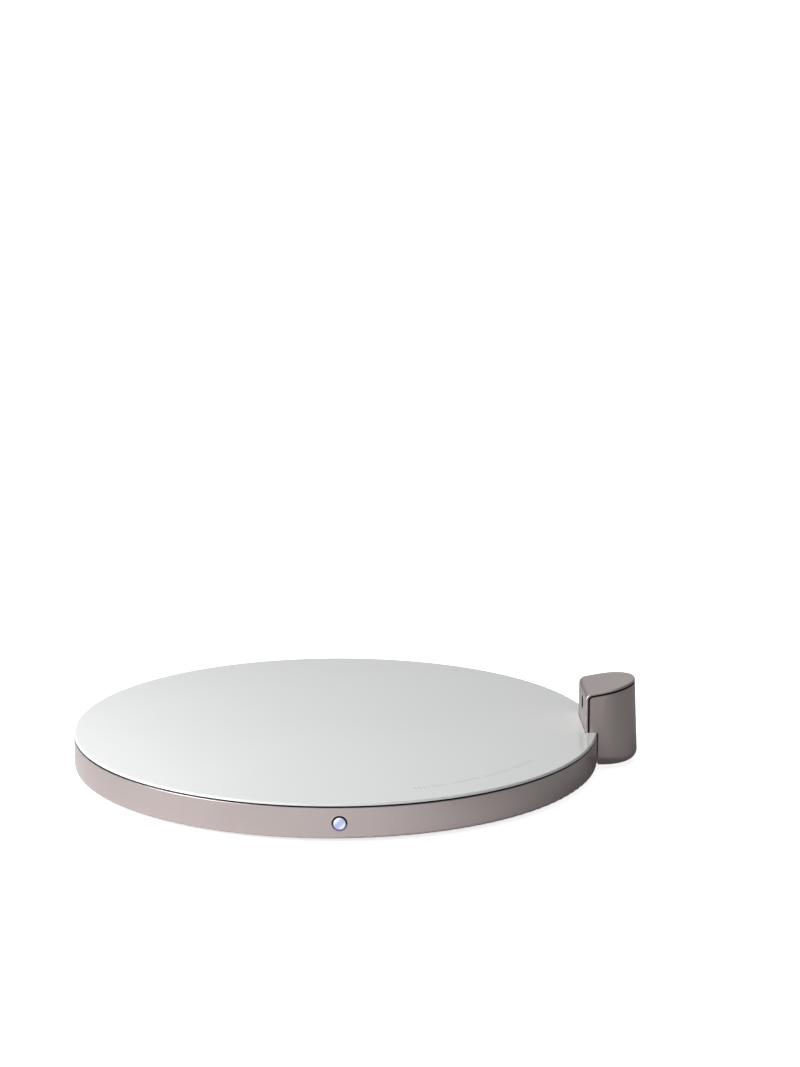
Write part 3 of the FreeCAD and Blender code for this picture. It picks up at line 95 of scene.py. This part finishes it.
def distanceFrom(tree, place):
    return addNode(tree, "ShaderNodeVectorMath", {"operation": "DISTANCE"},
                   {0: objectCoords(tree), 1: place}).outputs["Value"]


# one maths node, whose terms are numbers or sockets
def calc(tree, operation, *terms):
    return addNode(tree, "ShaderNodeMath", {"operation": operation}, dict(enumerate(terms))).outputs[0]


def product(tree, first, *others):
    total = first
    for other in others:
        total = calc(tree, "MULTIPLY", total, other)
    return total


def squareSum(tree, first, second):
    return calc(tree, "ADD", calc(tree, "MULTIPLY", first, first), calc(tree, "MULTIPLY", second, second))


# a mask that is 1 where a value lies between two limits
def between(tree, value, low, high):
    return product(tree, calc(tree, "GREATER_THAN", value, low), calc(tree, "LESS_THAN", value, high))


# goes from low to high while a value goes from start to end, and stays there beyond them
def ramp(tree, value, start, end, low=0.0, high=1.0, kind="LINEAR"):
    return addNode(tree, "ShaderNodeMapRange", {"interpolation_type": kind}, {
        "Value": value, "From Min": start, "From Max": end, "To Min": low, "To Max": high}).outputs["Result"]


def mixColors(tree, share, first, second):
    return addNode(tree, "ShaderNodeMix", {"data_type": "RGBA"},
                   {"Factor": share, "A": first, "B": second}).outputs["Result"]


# lays a colour over what the shader already has, wherever the mask lets it
def paintOver(tree, shader, mask, color):
    under = shader.inputs["Base Color"].links[0].from_socket
    feed(tree, shader, {"Base Color": mixColors(tree, mask, under, opaque(color))})


def addBump(tree, shader, height, distance):
    bump = addNode(tree, "ShaderNodeBump", terms={"Strength": 1.0, "Distance": distance, "Height": height})
    feed(tree, shader, {"Normal": bump.outputs["Normal"]})


# effects that several materials share

def newGroup(name, inputs, outputs):
    group = bpy.data.node_groups.new(name, "ShaderNodeTree")
    for label, kind in inputs.items():
        group.interface.new_socket(name=label, in_out="INPUT", socket_type="NodeSocket" + kind)
    for label, kind in outputs.items():
        group.interface.new_socket(name=label, in_out="OUTPUT", socket_type="NodeSocket" + kind)
    return group, group.nodes.new("NodeGroupInput").outputs, group.nodes.new("NodeGroupOutput")


grainLook = dict(detail=3.0, roughness=0.6)


# fine even grain, such as bead blasting or a spark-eroded mould leaves
def buildGrainGroup():
    group, given, end = newGroup("surfaceGrain", {"Vector": "Vector", "Scale": "Float"}, {"Height": "Float"})
    fine = addNode(group, "ShaderNodeTexNoise", terms={
        "Vector": given["Vector"], "Scale": given["Scale"], "Detail": grainLook["detail"],
        "Roughness": grainLook["roughness"]})
    feed(group, end, {"Height": fine.outputs["Fac"]})
    return group


driftLook = dict(detail=4.0, roughness=0.55, allDark=0.3, allLight=0.7)


# slow cloudy unevenness between two colours and two roughnesses
def buildDriftGroup():
    group, given, end = newGroup(
        "slowDrift",
        {"Vector": "Vector", "Scale": "Float", "Dark": "Color", "Light": "Color", "Smooth": "Float",
         "Rough": "Float"},
        {"Color": "Color", "Roughness": "Float"})
    cloud = addNode(group, "ShaderNodeTexNoise", terms={
        "Vector": given["Vector"], "Scale": given["Scale"], "Detail": driftLook["detail"],
        "Roughness": driftLook["roughness"]})
    spread = ramp(group, cloud.outputs["Fac"], driftLook["allDark"], driftLook["allLight"])
    feed(group, end, {
        "Color": mixColors(group, spread, given["Dark"], given["Light"]),
        "Roughness": ramp(group, spread, 0.0, 1.0, given["Smooth"], given["Rough"])})
    return group


grainGroup = buildGrainGroup()
driftGroup = buildDriftGroup()
plainLook = dict(driftScale=60.0, metallic=0.0, specular=0.5, coat=0.0, grainScale=0.0, grainDepth=0.0)


# a finish made of slow drift in colour and gloss, with a fine grain over it
def grainyFinish(name, look):
    look = {**plainLook, **look}
    material, tree, shader = newMaterial(name)
    coords = objectCoords(tree)
    drift = addNode(tree, "ShaderNodeGroup", {"node_tree": driftGroup}, {
        "Vector": coords, "Scale": look["driftScale"], "Dark": opaque(look["dark"]),
        "Light": opaque(look["light"]), "Smooth": look["smooth"], "Rough": look["rough"]})
    feed(tree, shader, {
        "Base Color": drift.outputs["Color"], "Roughness": drift.outputs["Roughness"],
        "Metallic": look["metallic"], "Specular IOR Level": look["specular"], "Coat Weight": look["coat"]})
    if look["grainDepth"]:
        grain = addNode(tree, "ShaderNodeGroup", {"node_tree": grainGroup},
                        {"Vector": coords, "Scale": look["grainScale"]})
        addBump(tree, shader, grain.outputs["Height"], look["grainDepth"])
    return material, tree, shader


print("stage: shared effects built")

# finishes that need nothing but drift and grain
plainLooks = {
    "blackSeal": dict(dark=(0.003, 0.003, 0.003), light=(0.006, 0.006, 0.006), smooth=0.6, rough=0.75,
                      specular=0.2, grainScale=4000.0, grainDepth=0.000004),
    "coverPlastic": dict(dark=(0.026, 0.026, 0.028), light=(0.034, 0.034, 0.036), smooth=0.5, rough=0.62,
                         grainScale=3000.0, grainDepth=0.00002),
    "footRubber": dict(dark=(0.022, 0.022, 0.024), light=(0.035, 0.035, 0.037), smooth=0.7, rough=0.85,
                       grainScale=2500.0, grainDepth=0.00001),
    "screwSteel": dict(dark=(0.42, 0.42, 0.43), light=(0.55, 0.55, 0.56), smooth=0.25, rough=0.4,
                       metallic=1.0, grainScale=3000.0, grainDepth=0.000003),
    "windowDark": dict(dark=(0.003, 0.003, 0.004), light=(0.006, 0.006, 0.008), smooth=0.55, rough=0.6,
                       specular=0.0),
    "shieldAluminium": dict(dark=(0.62, 0.62, 0.63), light=(0.75, 0.75, 0.76), smooth=0.25, rough=0.4,
                            metallic=1.0, grainScale=1500.0, grainDepth=0.000004),
    "ferriteGrey": dict(dark=(0.035, 0.035, 0.038), light=(0.07, 0.07, 0.075), smooth=0.55, rough=0.75,
                        driftScale=400.0, grainScale=2500.0, grainDepth=0.00001),
    "thermalGrey": dict(dark=(0.30, 0.32, 0.35), light=(0.38, 0.40, 0.43), smooth=0.7, rough=0.85,
                        grainScale=1800.0, grainDepth=0.00001),
    "beadEpoxy": dict(dark=(0.10, 0.03, 0.02), light=(0.17, 0.06, 0.03), smooth=0.2, rough=0.35, coat=0.3),
    "leadSleeve": dict(dark=(0.33, 0.02, 0.015), light=(0.42, 0.03, 0.02), smooth=0.35, rough=0.45,
                       grainScale=2500.0, grainDepth=0.000004),
    "chipEpoxy": dict(dark=(0.012, 0.012, 0.013), light=(0.02, 0.02, 0.021), smooth=0.45, rough=0.6,
                      grainScale=6000.0, grainDepth=0.000004),
    "chokePowder": dict(dark=(0.09, 0.09, 0.095), light=(0.15, 0.15, 0.155), smooth=0.6, rough=0.75,
                        driftScale=900.0, grainScale=5000.0, grainDepth=0.00001),
    "platedSteel": dict(dark=(0.50, 0.50, 0.51), light=(0.62, 0.62, 0.63), smooth=0.22, rough=0.34,
                        metallic=1.0, grainScale=3500.0, grainDepth=0.000002),
    "capacitorTan": dict(dark=(0.28, 0.19, 0.10), light=(0.38, 0.27, 0.15), smooth=0.4, rough=0.55,
                         driftScale=700.0, grainScale=5000.0, grainDepth=0.000004),
    "lampResin": dict(dark=(0.72, 0.70, 0.55), light=(0.82, 0.80, 0.66), smooth=0.1, rough=0.2, coat=0.5),
    "filmAmber": dict(dark=(0.36, 0.15, 0.02), light=(0.46, 0.21, 0.03), smooth=0.2, rough=0.32, coat=0.3),
    "socketIvory": dict(dark=(0.62, 0.59, 0.50), light=(0.70, 0.67, 0.58), smooth=0.4, rough=0.5,
                        grainScale=5000.0, grainDepth=0.000004),
}
finishes = {name: grainyFinish(name, look)[0] for name, look in plainLooks.items()}
print("stage: plain finishes built")

# white glossy panel, with fine ticks printed in short runs along an arc near its front right edge
panelLook = dict(dark=(0.70, 0.717, 0.708), light=(0.72, 0.736, 0.727), smooth=0.045, rough=0.075,
                 driftScale=25.0)
ticksLook = dict(radius=0.045, height=0.0015, first=-72.0, last=-33.0, ticks=34, tickShare=0.42,
                 runs=4, runShare=0.85, ink=(0.33, 0.35, 0.35), strength=0.3, skin=0.0001)


def printTicks(tree, shader):
    x, y, z = splitCoords(tree)
    first, last = math.radians(ticksLook["first"]), math.radians(ticksLook["last"])
    turned = calc(tree, "SUBTRACT", calc(tree, "ARCTAN2", y, x), first)
    share = calc(tree, "DIVIDE", turned, last - first)
    reach = calc(tree, "SQRT", squareSum(tree, x, y))
    tickPart = calc(tree, "FRACT", calc(tree, "MULTIPLY", share, ticksLook["ticks"]))
    runPart = calc(tree, "FRACT", calc(tree, "MULTIPLY", share, ticksLook["runs"]))
    inArc = between(tree, share, 0.0, 1.0)
    inRow = between(tree, reach, ticksLook["radius"] - ticksLook["height"] / 2,
                    ticksLook["radius"] + ticksLook["height"] / 2)
    inTick = calc(tree, "LESS_THAN", tickPart, ticksLook["tickShare"])
    inRun = calc(tree, "LESS_THAN", runPart, ticksLook["runShare"])
    onTop = calc(tree, "GREATER_THAN", z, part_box("top_panel")[1][2] - ticksLook["skin"])
    mask = product(tree, inArc, inRow, inTick, inRun, onTop, ticksLook["strength"])
    paintOver(tree, shader, mask, ticksLook["ink"])


def makePanel():
    material, tree, shader = grainyFinish("panelWhite", panelLook)
    printTicks(tree, shader)
    return material


# satin metal of the rim and the post; on the button hole's lower wall a painted glow stands in for the light
# that the lit button throws there, and the sensor window hole's wall is coloured near black; the painted
# glow grows from its start above the button's middle to its end below it, both as shares of the hole's
# radius
rimLook = dict(dark=(0.525, 0.458, 0.452), light=(0.555, 0.485, 0.479), smooth=0.30, rough=0.35,
               metallic=1.0, driftScale=35.0, grainScale=5200.0, grainDepth=0.000004)
paintedGlowLook = dict(holeRadius=0.00147, margin=0.00008, startAbove=0.1, endBelow=0.75,
                 color=(0.20, 0.18, 0.30), strength=0.8)
windowHoleLook = dict(color=(0.004, 0.004, 0.004), margin=0.00005)

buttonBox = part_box("button_cap")
buttonMiddle = (Vector(buttonBox[0]) + Vector(buttonBox[1])) / 2


# how far to the right of the button's middle, and how far above it
def offButton(tree, x, z):
    return calc(tree, "SUBTRACT", x, buttonMiddle.x), calc(tree, "SUBTRACT", z, buttonMiddle.z)


# painted glow: the lower wall of the button's hole glows faintly, standing in for the little light that the
# lit button throws on it
def paintHoleWallGlow(tree, shader):
    x, y, z = splitCoords(tree)
    aside, above = offButton(tree, x, z)
    radius = paintedGlowLook["holeRadius"]
    away = calc(tree, "SQRT", squareSum(tree, aside, above))
    near = ramp(tree, away, radius + paintedGlowLook["margin"], radius)
    low = ramp(tree, above, radius * paintedGlowLook["startAbove"], -radius * paintedGlowLook["endBelow"])
    front = calc(tree, "LESS_THAN", y, 0.0)
    feed(tree, shader, {
        "Emission Color": opaque(paintedGlowLook["color"]),
        "Emission Strength": product(tree, near, low, front, paintedGlowLook["strength"])})


# the wall of the sensor window's hole is coloured near black
def paintWindowHole(tree, shader):
    low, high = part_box("sensor_window")
    x, y, z = splitCoords(tree)
    radius = (high[1] - low[1]) / 2 + windowHoleLook["margin"]
    aside = calc(tree, "SUBTRACT", y, (low[1] + high[1]) / 2)
    above = calc(tree, "SUBTRACT", z, (low[2] + high[2]) / 2)
    inside = calc(tree, "LESS_THAN", squareSum(tree, aside, above), radius * radius)
    mask = product(tree, inside, between(tree, x, 0.0, high[0]))
    paintOver(tree, shader, mask, windowHoleLook["color"])


def makeRim():
    material, tree, shader = grainyFinish("rimMetal", rimLook)
    paintHoleWallGlow(tree, shader)
    paintWindowHole(tree, shader)
    return material


buttonLook = dict(middle=(0.25, 0.29, 0.50), sides=(0.66, 0.67, 0.70), glow=1.0, bandStart=0.0002,
                  bandEnd=0.0009, lensDepth=0.0003, lens=(0.26, 0.28, 0.38), sleeve=(0.006, 0.006, 0.008),
                  roughness=0.18)


# the button glows from behind: bluer along a band that rises at 45 degrees through its middle, and
# whiter to both sides of it
def makeButtonGlow():
    material, tree, shader = newMaterial("buttonLit")
    x, y, z = splitCoords(tree)
    aside, above = offButton(tree, x, z)
    slant = calc(tree, "MULTIPLY", calc(tree, "SUBTRACT", above, aside), math.sqrt(0.5))
    offBand = calc(tree, "ABSOLUTE", slant)
    spread = ramp(tree, offBand, buttonLook["bandStart"], buttonLook["bandEnd"], kind="SMOOTHSTEP")
    face = buttonBox[0][1]
    front = ramp(tree, y, face + buttonLook["lensDepth"], face + buttonLook["lensDepth"] / 2)
    feed(tree, shader, {
        "Base Color": mixColors(tree, front, opaque(buttonLook["sleeve"]), opaque(buttonLook["lens"])),
        "Emission Color": mixColors(tree, spread, opaque(buttonLook["middle"]), opaque(buttonLook["sides"])),
        "Emission Strength": calc(tree, "MULTIPLY", front, buttonLook["glow"]),
        "Roughness": buttonLook["roughness"]})
    return material


boardLook = dict(mask=(0.012, 0.085, 0.035), trace=(0.02, 0.16, 0.06), traceScale=420.0, disorder=0.55,
                 fold=0.18, edgeStart=0.08, edgeEnd=0.11, roughness=0.32, coat=0.4, traceDepth=0.00003)


# green solder mask with slightly raised tracks under it
def makeBoard():
    material, tree, shader = newMaterial("boardGreen")
    cells = addNode(tree, "ShaderNodeTexVoronoi", {"distance": "CHEBYCHEV", "feature": "F1"}, {
        "Vector": objectCoords(tree), "Scale": boardLook["traceScale"], "Randomness": boardLook["disorder"]})
    folded = calc(tree, "PINGPONG", cells.outputs["Distance"], boardLook["fold"])
    tracks = ramp(tree, folded, boardLook["edgeStart"], boardLook["edgeEnd"])
    feed(tree, shader, {
        "Base Color": mixColors(tree, tracks, opaque(boardLook["mask"]), opaque(boardLook["trace"])),
        "Roughness": boardLook["roughness"], "Coat Weight": boardLook["coat"]})
    addBump(tree, shader, tracks, boardLook["traceDepth"])
    return material


coilLook = dict(dark=(0.42, 0.15, 0.06), light=(0.78, 0.38, 0.20), strandScale=1300.0, waver=1.5,
                waverDetail=1.0, waverScale=0.3, roughness=0.3, strandDepth=0.00004)


# enamelled copper strands laid side by side along the turns
def makeCoil():
    material, tree, shader = newMaterial("coilCopper")
    strands = addNode(tree, "ShaderNodeTexWave", {"wave_type": "RINGS", "rings_direction": "Z"}, {
        "Vector": objectCoords(tree), "Scale": coilLook["strandScale"], "Distortion": coilLook["waver"],
        "Detail": coilLook["waverDetail"], "Detail Scale": coilLook["waverScale"]}).outputs["Fac"]
    feed(tree, shader, {
        "Base Color": mixColors(tree, strands, opaque(coilLook["dark"]), opaque(coilLook["light"])),
        "Metallic": 1.0, "Roughness": coilLook["roughness"]})
    addBump(tree, shader, strands, coilLook["strandDepth"])
    return material


tongueLook = dict(body="chipEpoxy", gold=(0.83, 0.62, 0.28), pitch=0.0005, share=0.5, reach=0.003,
                  length=0.0042, bareTip=0.0004)


# the inlet's tongue: black plastic with a row of gilt contacts on both of its faces
def makeTongue():
    material, tree, shader = grainyFinish("tongueContacts", plainLooks[tongueLook["body"]])
    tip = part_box("usb_tongue")[1][1]
    x, y, _ = splitCoords(tree)
    part = calc(tree, "FRACT", calc(tree, "DIVIDE", x, tongueLook["pitch"]))
    inContact = calc(tree, "LESS_THAN", part, tongueLook["share"])
    inRow = between(tree, x, -tongueLook["reach"], tongueLook["reach"])
    inLength = between(tree, y, tip - tongueLook["length"], tip - tongueLook["bareTip"])
    mask = product(tree, inContact, inRow, inLength)
    paintOver(tree, shader, mask, tongueLook["gold"])
    feed(tree, shader, {"Metallic": mask})
    return material


finishes["panelWhite"] = makePanel()
finishes["rimMetal"] = makeRim()
finishes["buttonLit"] = makeButtonGlow()
finishes["boardGreen"] = makeBoard()
finishes["coilCopper"] = makeCoil()
finishes["tongueContacts"] = makeTongue()
print("stage: other finishes built")

# the pieces that have each finish
wearers = {
    "panelWhite": ["top_panel"],
    "rimMetal": ["rim_ring", "post_shell", "post_cap"],
    "blackSeal": ["panel_seal", "post_gasket"],
    "buttonLit": ["button_cap"],
    "windowDark": ["sensor_window"],
    "coverPlastic": ["base_cover", "inner_frame", "button_guide", "post_bracket"],
    "footRubber": ["foot_mat"],
    "screwSteel": ["cover_screws", "bracket_screws", "post_screw"],
    "boardGreen": ["main_board", "sensor_board"],
    "coilCopper": ["heating_coil", "coil_leads"],
    "tongueContacts": ["usb_tongue"],
    "shieldAluminium": ["shield_plate"],
    "ferriteGrey": ["ferrite_disc"],
    "thermalGrey": ["thermal_pad"],
    "beadEpoxy": ["thermistor"],
    "leadSleeve": ["thermistor_wires"],
    "chipEpoxy": ["control_chip", "power_transistors", "inlet_chip", "switch_plunger"],
    "chokePowder": ["power_inductor"],
    "platedSteel": ["crystal", "sensor_can", "usb_shell", "switch_body"],
    "capacitorTan": ["tuning_capacitors", "small_capacitors"],
    "lampResin": ["status_leds"],
    "filmAmber": ["sensor_ribbon"],
    "socketIvory": ["ribbon_socket"],
}
finishOf = {nodeName: finish for finish, nodeNames in wearers.items() for nodeName in nodeNames}
for nodeName, node in nodes.items():
    for slot in node.material_slots:
        slot.material = finishes[finishOf[nodeName]]
print("stage: finishes given to", len(finishOf), "nodes")

# floor: the painted shade tones run along the direction across, as pairs of a distance in metres and a
# brightness
floorLook = dict(size=60.0, drop=0.00005, roughness=0.9, specular=0.1, seen=(0.95, 0.95, 0.95),
                 across=(1.0, 0.3, 0.0),
                 shadeTones=((-0.09, 0.74), (-0.03, 0.86), (0.004, 0.72), (0.046, 0.34), (0.08, 0.33)),
                 nearGlow=0.75, farGlow=1.0, glowStart=0.12, glowEnd=0.6,
                 nook=(0.0522, -0.0012, 0.0), nookStart=0.0019, nookEnd=0.0026)


# painted shade: the floor's colour as the metal reflects it is darker on the right side, standing in for the
# shadow that falls on the floor there
def floorReflectedShade(tree):
    shadeTones = floorLook["shadeTones"]
    first, last = shadeTones[0][0], shadeTones[-1][0]
    across = addNode(tree, "ShaderNodeVectorMath", {"operation": "DOT_PRODUCT"},
                     {0: objectCoords(tree), 1: floorLook["across"]})
    share = ramp(tree, across.outputs["Value"], first, last)
    shadeRamp = addNode(tree, "ShaderNodeValToRGB", terms={"Fac": share})
    stops = shadeRamp.color_ramp.elements
    for spot, _ in shadeTones[1:-1]:
        stops.new((spot - first) / (last - first))
    for stop, (_, level) in zip(stops, shadeTones):
        stop.color = (level, level, level, 1.0)
    return shadeRamp.outputs["Color"]


# how much the camera sees the floor glow: less close to the pad, none in the nook at the post's foot
def floorGlow(tree):
    level = ramp(tree, distanceFrom(tree, (0.0, 0.0, 0.0)), floorLook["glowStart"], floorLook["glowEnd"],
                 floorLook["nearGlow"], floorLook["farGlow"], kind="SMOOTHSTEP")
    outside = ramp(tree, distanceFrom(tree, floorLook["nook"]), floorLook["nookStart"], floorLook["nookEnd"])
    return product(tree, level, outside)


# pale paper that lets the light table's light through, and that can't be seen from below
def makePaper():
    material, tree, shader = newMaterial("palePaper")
    path = addNode(tree, "ShaderNodeLightPath").outputs
    feed(tree, shader, {
        "Roughness": floorLook["roughness"], "Specular IOR Level": floorLook["specular"],
        # rays other than the camera's see the painted shade tones; the camera sees an even pale colour
        "Base Color": mixColors(tree, path["Is Camera Ray"], floorReflectedShade(tree), opaque(floorLook["seen"])),
        "Emission Color": opaque((1.0, 1.0, 1.0)),
        "Emission Strength": product(tree, path["Is Camera Ray"], floorGlow(tree))})
    underneath = addNode(tree, "ShaderNodeNewGeometry").outputs["Backfacing"]
    clear = addNode(tree, "ShaderNodeBsdfTransparent")
    paper = addNode(tree, "ShaderNodeMixShader", terms={
        "Fac": calc(tree, "MAXIMUM", underneath, path["Is Shadow Ray"]),
        1: shader.outputs["BSDF"], 2: clear.outputs["BSDF"]})
    feed(tree, tree.nodes["Material Output"], {"Surface": paper.outputs["Shader"]})
    return material


def makeFloor():
    bm = bmesh.new()
    bmesh.ops.create_grid(bm, x_segments=1, y_segments=1, size=floorLook["size"] / 2)
    bmesh.ops.translate(bm, verts=bm.verts, vec=(0.0, 0.0, -floorLook["drop"]))
    mesh = bpy.data.meshes.new("paleFloor")
    bm.to_mesh(mesh)
    bm.free()
    mesh.materials.append(makePaper())
    floor = bpy.data.objects.new("paleFloor", mesh)
    bpy.context.scene.collection.objects.link(floor)


makeFloor()

# a lamp with only lights that one piece alone, and one with skips lights all but that one
lamps = {
    "leftSoftbox": dict(place=(-0.34, -0.13, 0.23), aim=(0, 0, 0), size=(0.34, 0.34), power=2.3),
    "topSoftbox": dict(place=(-0.15, 0.1, 1.5), aim=(0, 0, 0), size=(1.2, 1.2), power=5.0,
                       skips="top_panel"),
    "frontPanel": dict(place=(0.35, -1.3, 0.32), aim=(0, 0, 0), size=(1.2, 0.5), power=1.1),
    "backPanel": dict(place=(0.0, 1.7, 0.62), aim=(0, 0, 0.3), size=(2.4, 0.9), power=2.7),
    "panelWash": dict(place=(-0.12, -0.05, 0.07), aim=(-0.045, 0, 0.0074), size=(0.08, 0.08), power=0.075,
                      only="top_panel"),
    "lightTable": dict(place=(0, 0, -0.5), aim=(0, 0, 0), size=(1.0, 1.0), power=4.0),
}


def placeLamp(name, lamp):
    data = bpy.data.lights.new(name, "AREA")
    data.shape = "RECTANGLE"
    data.size, data.size_y = lamp["size"]
    data.energy = lamp["power"]
    lampObject = bpy.data.objects.new(name, data)
    bpy.context.scene.collection.objects.link(lampObject)
    aim = Vector(lamp["aim"]) - Vector(lamp["place"])
    lampObject.location = lamp["place"]
    lampObject.rotation_euler = aim.to_track_quat("-Z", "Y").to_euler()
    lampObject.visible_camera = False
    return lampObject


# a lamp that lights one piece alone leaves no reflection of itself
def limitLamp(lampObject, nodeName, lightsOnlyThat):
    reached = bpy.data.collections.new(lampObject.name + "Reach")
    reached.objects.link(nodes[nodeName])
    reached.collection_objects[0].light_linking.link_state = "INCLUDE" if lightsOnlyThat else "EXCLUDE"
    lampObject.light_linking.receiver_collection = reached
    lampObject.visible_glossy = not lightsOnlyThat


for lampName, lamp in lamps.items():
    lampObject = placeLamp(lampName, lamp)
    if "only" in lamp:
        limitLamp(lampObject, lamp["only"], True)
    if "skips" in lamp:
        limitLamp(lampObject, lamp["skips"], False)

# air: the light that it gives from all sides, and how bright the camera sees it
airLook = dict(given=0.25, seen=1.0)


def makeAir():
    world = bpy.data.worlds.new("studioAir")
    world.use_nodes = True
    tree = world.node_tree
    path = addNode(tree, "ShaderNodeLightPath")
    level = ramp(tree, path.outputs["Is Camera Ray"], 0.0, 1.0, airLook["given"], airLook["seen"])
    feed(tree, tree.nodes["Background"], {"Color": opaque((1.0, 1.0, 1.0)), "Strength": level})
    bpy.context.scene.world = world


makeAir()
print("stage: floor and light set")
